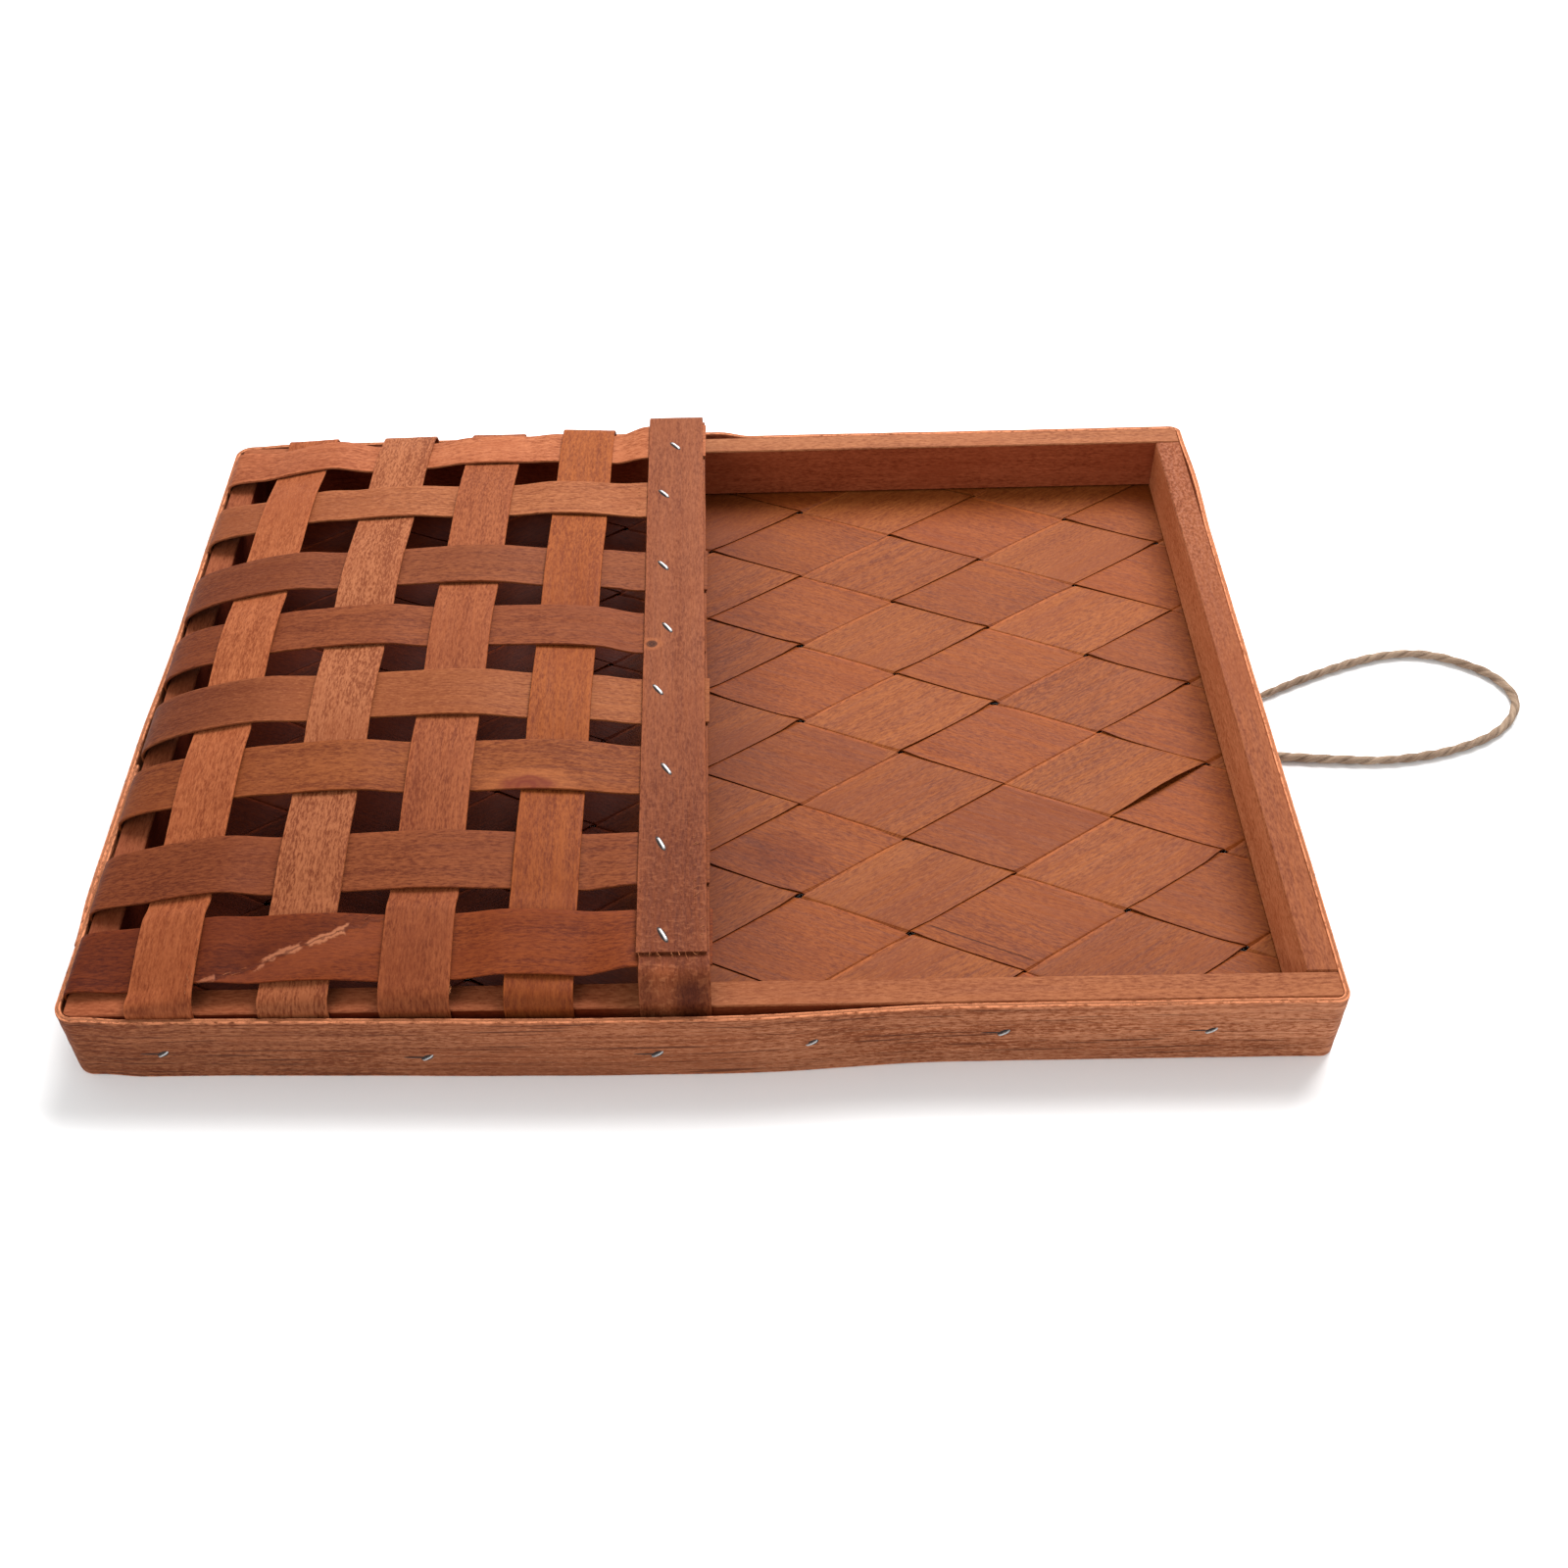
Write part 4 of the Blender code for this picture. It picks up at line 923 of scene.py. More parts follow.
def band_bulge(x, run):
    """How far the band stands off a side rail, pushed out by the ends of splints and rim."""
    splints_off, rim_off = LAYER_STEP, 2 * LAYER_STEP + 0.0010
    corner_end = LOWER_BAND_INNER_X + LOWER_CORNER_RADIUS
    first = CROSS_X[0] - CROSS_WIDTH[0] / 2 - CROSSING_MARGIN
    rim_low = RIM_X + RIM_SLANT * SIDE_SLOT_Y - SPLINT_WIDTH / 2 - CROSSING_MARGIN
    rim_high = RIM_X - RIM_SLANT * SIDE_SLOT_Y + SPLINT_WIDTH / 2 + RIM_SHIFT + CROSSING_MARGIN
    if x < first:
        return splints_off * eased((x - corner_end) / (first - corner_end))
    if x < rim_low:
        return splints_off + (rim_off - splints_off) * eased((x - first) / (rim_low - first))
    return rim_off * (1 - eased((x - rim_high) / run))


def quarter(centre, radius, start, end, steps=12):
    angles = [math.radians(start + (end - start) * step / steps) for step in range(steps + 1)]
    return [(centre[0] + radius * math.cos(a), centre[1] + radius * math.sin(a)) for a in angles]


def band_path():
    """Middle line of the band, from its inner end on the lower side, round to its outer end."""
    half = BAND_THICKNESS / 2
    side_y, upper_x = TRAY_WIDTH / 2 - half, TRAY_LENGTH / 2 - half
    lower_x = LOWER_BAND_INNER_X - half
    lower_r, upper_r = LOWER_CORNER_RADIUS - half, UPPER_CORNER_RADIUS - half
    low, high = lower_x + lower_r, upper_x - upper_r
    path = [(lower_x, y) for y in span(-0.132 * TRAY_WIDTH, -side_y + lower_r)[:-1]]
    path += quarter((low, -side_y + lower_r), lower_r, 180, 270)
    path += [(x, -side_y - band_bulge(x, RIGHT_RUN)) for x in span(low, high)[1:-1]]
    path += quarter((high, -side_y + upper_r), upper_r, 270, 360)
    notches = [y + side * (NOTCH_REACH + extra) for y in NOTCHES for side in (-1, 1) for extra in (0, 3e-5)]
    for y in sorted(span(-side_y + upper_r, side_y - upper_r)[1:-1] + notches):
        swell = math.sin(math.pi * min(1, max(0, (y - SWELL_START) / SWELL_LENGTH)))**2
        path.append((upper_x + UPPER_SWELL * swell, y))
    path += quarter((high, side_y - upper_r), upper_r, 0, 90)
    path += [(x, side_y + band_bulge(x, LEFT_RUN)) for x in span(high, low, 0.0022)[1:-1]]
    path += quarter((low, side_y - lower_r), lower_r, 90, 180)
    ramp_start, ramp_end, end = 0.100 * TRAY_WIDTH, -0.112 * TRAY_WIDTH, -0.400 * TRAY_WIDTH
    path += [(lower_x, y) for y in span(side_y - lower_r, ramp_start)[1:-1]]
    for y in span(ramp_start, ramp_end):
        path.append((lower_x - LAP_STEP * eased((ramp_start - y) / (ramp_start - ramp_end)), y))
    for y in span(ramp_end, end)[1:]:
        path.append((lower_x - LAP_STEP + BAND_TAPER * eased(1 - (y - end) / LAP_TAPER), y))
    return path


def in_notch(x, y):
    return x > TRAY_LENGTH / 2 - 0.002 and any(abs(y - exit_y) < NOTCH_REACH + 1e-5 for exit_y in NOTCHES)


class BASKET_OT_band(bpy.types.Operator):
    """Wrap the thin band round the tray, lapped at the lower end"""
    bl_idname = "basket.band"
    bl_label = "Edge Band"

    def execute(self, context):
        pairs = []
        for number, (x, y) in enumerate(band_path()):
            top = BAND_HEIGHT + 0.00022 * wave(number * 0.11, 4.0) - 0.0001
            foot = NOTCH_DEPTH if in_notch(x, y) else BAND_FOOT + 0.0001 * wave(number * 0.17, 9.0)
            pairs.append((Vector((x, y, foot)), Vector((x, y, top))))
        # Painted shade on the band, darker towards its lower end and fading out towards the upper end
        finish = wood_finish(
            "band_stain", context.scene.basket_wood.band, coarse=1.3, contrast=1.3, relief=2.6, roughness=0.7,
            pale_edge_strength=1.0, pale_edge_lightness=1.75,
            marks=[painted_shade_fade((0.53, 0.44, 0.36), 0, -TRAY_LENGTH / 2, TRAY_LENGTH * 0.30), sawn_ridges()])
        middle = [(first + second) / 2 for first, second in pairs]
        length = sum((b - a).length for a, b in zip(middle, middle[1:]))

        def ridges(along, column):
            rise = 0.00010 * wave(along * 9, column * 13, 2.0) + 0.00005 * wave(along * 20, column * 31, 6.0)
            thin = eased(1 - (length - along) / LAP_TAPER) * (BAND_BODY / 2 - BAND_TIP)
            return rise + BAND_PROUD - thin, -thin

        band = ribbon("band", pairs, BAND_BODY, 3.0, finish, 0.4, ridges, 0.0008)
        settle(band, BODY, ["edge_band"])
        return {"FINISHED"}


# The woven back

class StripFamily:
    """Parallel strips of the back: their slant, pitch, and the line that the first one starts at."""

    def __init__(self, rise_share, pitch_share):
        self.angle = math.atan2(rise_share * TRAY_WIDTH, TRAY_LENGTH)
        self.along = Vector((math.cos(self.angle), math.sin(self.angle), 0))
        self.across = Vector((-math.sin(self.angle), math.cos(self.angle), 0))
        self.pitch = pitch_share * TRAY_WIDTH * math.cos(self.angle)
        self.start = self.across.dot(BACK_CROSSING)

    def numbers(self):
        reach = abs(self.across.x) * TRAY_LENGTH / 2 + abs(self.across.y) * TRAY_WIDTH / 2
        low, high = (-reach - self.start) / self.pitch, (reach - self.start) / self.pitch
        return [
            number for number in range(math.floor(low), math.ceil(high))
            if min(number + 1, high) - max(number, low) > CORNER_TIP]


def crossing_stations(first, pitch, count, slit):
    """Places along a strip: close together in the slits, wider on the crossings."""
    places = []
    for number in range(count):
        edge = first + number * pitch
        places += [edge + slit * share for share in (-0.5, -0.4, -0.28, -0.14, 0, 0.14, 0.28, 0.4)]
        wide = (0, 0.03, 0.07, 0.12, 0.18, 0.3, 0.5, 0.7, 0.82, 0.88, 0.93, 0.97)
        places += [edge + slit / 2 + (pitch - slit) * share for share in wide]
    return places


def trim_to_tray(mesh):
    """Cuts a strip of the back off just inside the band, round corners and all."""
    planes = [
        (Vector(place), Vector(place).normalized()) for place in (
            (LOWER_BAND_INNER_X + SEAT_GAP, 0, 0), (UPPER_RAIL_OUTER_X, 0, 0),
            (0, RAIL_OUTER_Y, 0), (0, -RAIL_OUTER_Y, 0))]
    for x, radius in ((LOWER_BAND_INNER_X, LOWER_CUT_RADIUS), (UPPER_RAIL_OUTER_X, UPPER_CUT_RADIUS)):
        for side in (-1, 1):
            outward = Vector((math.copysign(1, x), side, 0)).normalized()
            planes.append((Vector((x, side * RAIL_OUTER_Y, 0)) - outward * radius * CUT_SHARE, outward))
    shape = bmesh.new()
    shape.from_mesh(mesh)
    for place, outward in planes:
        cut = bmesh.ops.bisect_plane(
            shape, geom=shape.verts[:] + shape.edges[:] + shape.faces[:], dist=1e-7, plane_co=place,
            plane_no=outward, clear_outer=True)
        rim = [part for part in cut["geom_cut"] if isinstance(part, bmesh.types.BMEdge)]
        if rim:
            bmesh.ops.holes_fill(shape, edges=rim, sides=0)
    shape.to_mesh(mesh)
    shape.free()


# Strips with an edge that springs free: place along the strip, reach, rise and which edge
LIFTED_EDGES = {("rising", -3): (0.114, 0.024, 0.0024, -1), ("rising", -1): (0.052, 0.018, 0.0005, -1)}
SPLIT_STRIP = -3
BACK_TONES = (
    ("rising", 0.85, ((1.0, 1.0, 1.0), (0.94, 0.90, 0.86), (1.05, 1.05, 1.06), (0.99, 0.97, 0.95))),
    ("falling", 0.8, ((1.0, 1.0, 1.0), (0.93, 0.92, 0.90), (1.04, 1.02, 1.0), (1.02, 1.02, 1.0))),
)


class BASKET_OT_back_weave(bpy.types.Operator):
    """Weave the tray's back from wide thin strips on the slant"""
    bl_idname = "basket.back_weave"
    bl_label = "Back Weave"

    def execute(self, context):
        rising = StripFamily(RISING_RISE, RISING_PITCH)
        falling = StripFamily(FALLING_RISE, FALLING_PITCH)
        tree = woven_strip_tree()
        # Painted shade on the strips beside the rim, fading out to its right, and a soft darker spot near it
        marks = [
            painted_shade_fade((0.70, 0.60, 0.54), 0, 0.004, 0.036),
            soft_spot((0.0300, -0.0680), (0.017, 0.013), (0.80, 0.70, 0.62))]
        torn = split((0.0765, -0.1003), (0.1105, -0.1166))
        finishes = {
            (label, tone): wood_finish(
                f"{label}_strip_stain_{tone + 1}", getattr(context.scene.basket_wood, label), shade,
                contrast=contrast, relief=0.8, roughness=0.58, pale_edge_strength=1.0, pale_edge_lightness=1.65,
                marks=[torn, *marks] if (label, tone) == ("falling", 3) else marks,
                # Painted shade on the strips' upper faces under the pocket
                over=[painted_pocket_shade(BACK_MIDDLE - 0.0004)])
            for label, contrast, tones in BACK_TONES for tone, shade in enumerate(tones)
        }
        self.lay(rising, falling, "rising", 0, tree, finishes, "back_wood_light")
        self.lay(falling, rising, "falling", 1, tree, finishes, "back_wood_dark")
        return {"FINISHED"}

    def lay(self, family, other, label, parity, tree, finishes, slot):
        back, wood = bpy.context.scene.basket_back, bpy.context.scene.basket_wood
        lean = family.along.dot(other.across)
        pitch = other.pitch / abs(lean)
        for count, number in enumerate(family.numbers(), start=1):
            middle = family.start + (number + 0.5) * family.pitch
            order = sorted(
                ((other.start + k * other.pitch - middle * family.across.dot(other.across)) / lean, k)
                for k in CROSSINGS)
            first, first_number = order[0]
            first_side = (number + first_number - (lean < 0) + parity) % 2
            slit = SLIT_WIDTH / abs(lean)
            places = [p for p in crossing_stations(first, pitch, len(order), slit) if abs(p) < STRIP_REACH]
            gap = getattr(back, label + "_gap") * (1 + 0.3 * wave(number * 1.7, parity * 5.0))
            tone = 3 if parity and number == SPLIT_STRIP else number % 3
            values = {
                "Width": family.pitch - gap, "Thickness": back.thickness,
                "Pitch": pitch, "First Crossing": first, "First Side": float(first_side),
                "Swing": back.swing, "Curl": back.curl, "Slit": slit, "Wander": wood.edge_wander,
                "Ripple": wood.ripple, "Skew": family.across.dot(other.across) / lean,
                "Seed": float(number + 40 * parity) * 1.31, "Turn": family.angle,
                "Pinch": back.pinch, "Tilt": back.tilt,
                "Place": family.across * middle + Vector((0, 0, BACK_MIDDLE)),
                "Material": finishes[label, tone],
            }
            guide = line_mesh(f"{label}_line_{count}", [(p, 0, 0) for p in places])
            mesh = grow(f"back_{label}_{count}", guide, tree, values)
            lifted = LIFTED_EDGES.get((label, number))
            if lifted:
                lift_edge(mesh, family, middle, *lifted)
            trim_to_tray(mesh)
            smooth_shade(mesh, 50)
            strip = show(f"back_{label}_{count}", mesh)
            settle(strip, BODY, [f"back_strip_{label}_{count}"])


def lift_edge(mesh, family, middle, place, reach, rise, side):
    """Springs one edge of a strip up off the weave, over a short reach."""
    half = family.pitch / 2
    for vertex in mesh.vertices:
        run = family.along.dot(vertex.co)
        share = side * (family.across.dot(vertex.co) - middle) / half
        near = max(0.0, 1 - ((run - place) / reach) ** 2) ** 1.5
        vertex.co.z += rise * near * max(0.0, (share + 0.4) / 1.4) ** 2


# The pocket: a station is (place along the splint, height of one edge, height of the other)

def smooth_run(leave, leave_slope, enter, enter_slope, steps=7):
    """Stations between two flat crossings, leaving and entering at the crossings' slopes."""
    length = enter[0] - leave[0]
    stations = []
    for step in range(1, steps):
        t = step / steps
        heights = [
            (2 * t**3 - 3 * t**2 + 1) * a + (t**3 - 2 * t**2 + t) * length * leave_slope
            + (3 * t**2 - 2 * t**3) * b + (t**3 - t**2) * length * enter_slope
            for a, b in zip(leave[1:], enter[1:])]
        stations.append((leave[0] + length * t, *heights))
    return stations


def between(first, last, steps=6):
    return [tuple(a + (b - a) * step / steps for a, b in zip(first, last)) for step in range(steps + 1)]


def arched(first, last, bow, steps=8):
    """Stations on a crossing that rise by bow in its middle."""
    rises = [bow * (1 - (2 * n / steps - 1)**2) for n in range(steps + 1)]
    return [(x, low + rise, high + rise) for rise, (x, low, high) in zip(rises, between(first, last, steps))]


def crossing_bow(side):
    """How much a splint arches on a crossing, and its slope at the crossing's end."""
    bow = bpy.context.scene.basket_wood.splint_arch * (1.0 if side > 0 else -0.3)
    return bow, 4 * bow / SPLINT_WIDTH


def shoulder(slot, crossing, slope, lift, reach, steps=16):
    """Stations from a splint's tail in its slot, up and over the rail, to its first crossing."""
    toward = math.copysign(reach, slot - crossing[0])
    places = (slot, slot, crossing[0] + toward, crossing[0])
    stations = [(slot, z, z) for z in span(SPLINT_TAIL_END, BAND_HEIGHT, 0.003)[:-1]]
    for step in range(steps):
        t = step / steps
        weights = ((1 - t)**3, 3 * t * (1 - t)**2, 3 * t**2 * (1 - t), t**3)
        place = sum(w * v for w, v in zip(weights, places))
        heights = []
        for edge in crossing[1:]:
            rises = (BAND_HEIGHT, BAND_HEIGHT + lift, edge + slope * toward, edge)
            heights.append(sum(w * v for w, v in zip(weights, rises)))
        stations.append((place, *heights))
    return stations


def outer_rise(y, column):
    return (LEFT_RISES if y > 0 else RIGHT_RISES)[column]


def side_slope(row, column):
    """Slope across the tray of the flat patch where a long and a cross splint meet."""
    fall = MIDDLE_RISES[column] - outer_rise(LONG_Y[row], column)
    return LONG_TILTS[row] - 2 * POCKET_RISE * fall * LONG_Y[row] / OUTERMOST_Y**2


def crossing_height(row, column, x, y, side):
    """Height on the flat patch where a long and a cross splint meet."""
    outer, top = outer_rise(LONG_Y[row], column), MIDDLE_RISES[column]
    middle = BAND_HEIGHT + POCKET_RISE * (top - (top - outer) * (LONG_Y[row] / OUTERMOST_Y)**2)
    tilt = CROSS_TILTS[column] * (x - CROSS_X[column])
    return middle + tilt + side_slope(row, column) * (y - LONG_Y[row]) + side * LAYER_STEP / 2


def woven_run(places, widths, toward, heights_at, slope_at, side, slot, reach):
    """A splint's stations from its tail over and under all it crosses, and its slope at the last.

    toward is 1 or -1, the way it runs, and side is 1 if it goes over the first crossing, or -1.
    """
    stations = []
    for number, (place, width) in enumerate(zip(places, widths)):
        half = toward * (width / 2 + CROSSING_MARGIN)
        enter, leave = ((p, *heights_at(number, p, side)) for p in (place - half, place + half))
        slope, (bow, tip) = slope_at(number), crossing_bow(side)
        if stations:
            stations += smooth_run(stations[-1], last_slope, enter, slope + toward * tip)
        else:
            stations += shoulder(slot, enter, slope + toward * tip, SHOULDER_LIFT, reach)
        stations += arched(enter, leave, bow)
        last_slope, side = slope - toward * tip, -side
    return stations, last_slope


def long_splint_pairs(row):
    edges = [LONG_Y[row] + side * LONG_WIDTH[row] / 2 for side in (-1, 1)]
    stations, slope = woven_run(
        CROSS_X, CROSS_WIDTH, 1,
        lambda column, x, side: [crossing_height(row, column, x, y, side) for y in edges],
        lambda column: CROSS_TILTS[column], (-1)**row, LOWER_SLOT_X, LONG_REACH)
    height = RIM_MIDDLE if row < len(LONG_Y) - 1 else RIM_MIDDLE - LAYER_STEP
    rim_x = RIM_X + RIM_SLANT * LONG_Y[row]
    enter = (rim_x - SPLINT_WIDTH / 2 - CROSSING_MARGIN, height, height)
    stations += smooth_run(stations[-1], slope, enter, 0)
    stations += between(enter, (rim_x + SPLINT_WIDTH / 2 + LONG_ENDS[row], height, height))
    return [(Vector((x, edges[0], low)), Vector((x, edges[1], high))) for x, low, high in stations]


def cross_splint_pairs(column):
    edges = [CROSS_X[column] + side * CROSS_WIDTH[column] / 2 for side in (-1, 1)]
    stations, slope = woven_run(
        LONG_Y, LONG_WIDTH, -1,
        lambda row, y, side: [crossing_height(row, column, x, y, side) for x in edges],
        lambda row: side_slope(row, column), -(-1)**column, SIDE_SLOT_Y, CROSS_REACH)
    stations += reversed(shoulder(-SIDE_SLOT_Y, stations[-1], slope, SHOULDER_LIFT, CROSS_REACH))
    return [(Vector((edges[0], y, low)), Vector((edges[1], y, high))) for y, low, high in stations]


LONG_SHADES = (
    (1.22, 1.28, 1.40), (0.96, 1.02, 1.00), (0.59, 0.51, 0.42), (0.60, 0.49, 0.37),
    (0.83, 0.83, 0.72), (0.68, 0.59, 0.39), (0.59, 0.48, 0.36), (0.56, 0.36, 0.16),
)
CROSS_SHADES = ((1.05, 1.00, 0.94), (0.95, 1.00, 1.04), (0.85, 0.78, 0.70), (0.82, 0.69, 0.40))
# The second splint of each kind has a coarser grain than the others
LONG_GRAIN, COARSE_LONG_GRAIN = {}, {"coarse": 1.5, "relief": 3.0}
CROSS_GRAIN, COARSE_CROSS_GRAIN = {"contrast": 0.9}, {"coarse": 1.2, "contrast": 1.45}


class BASKET_OT_pocket(bpy.types.Operator):
    """Lay the pocket's long and cross splints over and under each other"""
    bl_idname = "basket.pocket"
    bl_label = "Pocket Splints"

    def execute(self, context):
        # Knots, tears and splits are the wood's own; the fading marks on long_5 and long_8 are painted shade
        # on their lower ends
        marks = {
            "long_5": [painted_shade_fade((0.70, 0.62, 0.64), 0, -0.178, -0.140)],
            "long_6": [knot((-0.0560, -0.0695), (0.0110, 0.0056), stain(116, 46, 28), 0.95)],
            "long_8": [
                torn_line((-0.1540, -0.1445), (-0.0960, -0.1213)),
                painted_shade_fade((0.74, 0.67, 0.74), 0, -0.170, -0.060)],
            "cross_3": [split((-0.0865, 0.1215), (-0.0845, 0.1320))],
        }
        # Painted shade: the long splints darker towards their lower ends, the cross splints darker towards
        # the tray's right side
        long_slope_shade = painted_shade_fade((0.80, 0.72, 0.68), 0, -0.185, -0.120)
        cross_side_shade = painted_shade_fade((0.78, 0.68, 0.60), 1, -0.140, -0.020)
        for kind, shades, grain, coarse_grain, painted_fade, pairs, seed in (
            ("long", LONG_SHADES, LONG_GRAIN, COARSE_LONG_GRAIN, long_slope_shade, long_splint_pairs, 11.0),
            ("cross", CROSS_SHADES, CROSS_GRAIN, COARSE_CROSS_GRAIN, cross_side_shade, cross_splint_pairs, 31.0),
        ):
            for n, shade in enumerate(shades):
                name = f"{kind}_{n + 1}"
                finish = wood_finish(
                    f"{kind}_splint_{n + 1}_stain", context.scene.basket_wood.splint, shade,
                    marks=[*marks.get(name, ()), painted_fade], **(coarse_grain if n == 1 else grain))
                splint = ribbon(name, pairs(n), SPLINT_BODY, seed + n, finish)
                settle(splint, BODY, [f"{kind}_splint_{n + 1}"])
        return {"FINISHED"}


# The rim

def rim_pairs(stations, shift):
    pairs = []
    for y, low, high in stations:
        x, half = RIM_X + RIM_SLANT * y + shift, SPLINT_WIDTH / 2
        pairs.append((Vector((x - half, y, low)), Vector((x + half, y, high))))
    return pairs


def rim_end(slot, bend_y, height):
    rise = height - BAND_HEIGHT
    return shoulder(slot, (bend_y, height, height), 0, rise * RIM_PULL, abs(slot - bend_y) * RIM_PULL)


class BASKET_OT_rim(bpy.types.Operator):
    """Clamp the pocket's mouth between an outer and an inner rim strip"""
    bl_idname = "basket.rim"
    bl_label = "Rim"

    def execute(self, context):
        low, high, bend_y = RIM_MIDDLE - LAYER_STEP, RIM_MIDDLE + LAYER_STEP, SIDE_SLOT_Y - RIM_BEND
        finish = wood_finish(
            "rim_stain", context.scene.basket_wood.rim, contrast=0.8, relief=1.3, pale_edge_strength=0.7,
            marks=[
                knot((-0.0169, 0.0033), (0.0026, 0.0022), stain(56, 22, 10), 1.0), rough_patch(),
                # A painted highlight: the pale spot where the rim bends down at its right end, with a small
                # darker spot beside it
                soft_spot((-0.0090, -0.1470), (0.0052, 0.0056), (1.55, 1.70, 1.80)),
                soft_spot((-0.0010, -0.1502), (0.0045, 0.0022), (0.60, 0.48, 0.44)),
                # Painted shade, darker towards the rim's right end
                painted_shade_fade((0.90, 0.82, 0.72), 1, -0.120, 0.0)])
        stations = rim_end(SIDE_SLOT_Y + LAYER_STEP, bend_y, high)
        stations += between((bend_y, high, high), (RIM_SEAM_Y, high, high), 90)
        outer = ribbon("rim_outer", rim_pairs(stations, 0), SPLINT_THICKNESS, 51.0, finish)
        settle(outer, BODY, ["rim_strip_outer"])
        under_end, over_end = (LONG_Y[row] - LONG_WIDTH[row] / 2 - CROSSING_MARGIN for row in (-2, -1))
        over_start = LONG_Y[-1] + LONG_WIDTH[-1] / 2 + CROSSING_MARGIN
        leave, enter = (under_end, low, low), (over_start, RIM_MIDDLE, RIM_MIDDLE)
        stations = rim_end(SIDE_SLOT_Y, bend_y, low)
        stations += [*between((bend_y, low, low), leave, 70), *smooth_run(leave, 0, enter, 0)]
        stations += between(enter, (over_end, RIM_MIDDLE, RIM_MIDDLE))
        stations += reversed(rim_end(-SIDE_SLOT_Y, over_end, RIM_MIDDLE))
        inner = ribbon("rim_inner", rim_pairs(stations, RIM_SHIFT), SPLINT_THICKNESS, 52.0, finish)
        settle(inner, BODY, ["rim_strip_inner"])
        return {"FINISHED"}


# The staples

WIRE_WIDTH, WIRE_HEIGHT = 0.00086, 0.00056
CROWN_LIFT = 0.00030
CROWN_LEAN = math.radians(35)
UPPER_STAPLES = ((-0.118, 0.0140), (0.064, 0.0125))
LOWER_STAPLES = ((0.121, 0.0150), (0.045, 0.0120), (-0.098, 0.0175), (-0.104, 0.0090))
# The staples on the left side lie a little further up than those on the right
LEFT_SHIFT = 0.004
# Right of this place the band's lap lies under the staples of the lower end
LAP_EDGE_Y = -0.05


def staple_path(crown, depth, clinch=0.0):
    """A staple's wire: a bowed crown along X, legs down, bent in at the tips where it is clinched."""
    half = crown / 2
    side = [
        (half * 0.45, 0, -0.00003), (half * 0.72, 0, -0.00012), (half * 0.88, 0, -0.00035),
        (half * 0.97, 0, -0.0008), (half, 0, -0.0014), (half, 0, -depth),
    ]
    if clinch:
        side += [(half - clinch * 0.3, 0, -depth - 0.0003), (half - clinch, 0, -depth - 0.0003)]
    mirrored = [(-x, y, z) for x, y, z in reversed(side)]
    return [*mirrored, (0, 0, 0), *side]


def shadow_and_split_mesh(name, length, width, lean=0.0, crack=0.0, turn=0.0):
    """The shallow dent that a staple's crown lies in, painted dark as its shadow, and a dark split that runs
    off from it.
    """
    shape = bmesh.new()

    def lens(length, width, x, y, angle):
        made = bmesh.ops.create_uvsphere(shape, u_segments=20, v_segments=8, radius=1.0)["verts"]
        size = Matrix.Diagonal((length / 2, width / 2, 0.00022, 1))
        spin = Matrix.Rotation(angle, 4, "Z") @ Matrix.Translation((x, y, -0.00040)) @ size
        bmesh.ops.transform(shape, matrix=spin, verts=made)

    # The dent under the crown, painted dark as its shadow; lean moves it to one side
    lens(length, width, 0.0, lean, 0.0)
    if crack:
        lens(crack, 0.0007, -crack * 0.36, 0.0, turn)
    mesh = bpy.data.meshes.new(name)
    shape.to_mesh(mesh)
    shape.free()
    return mesh


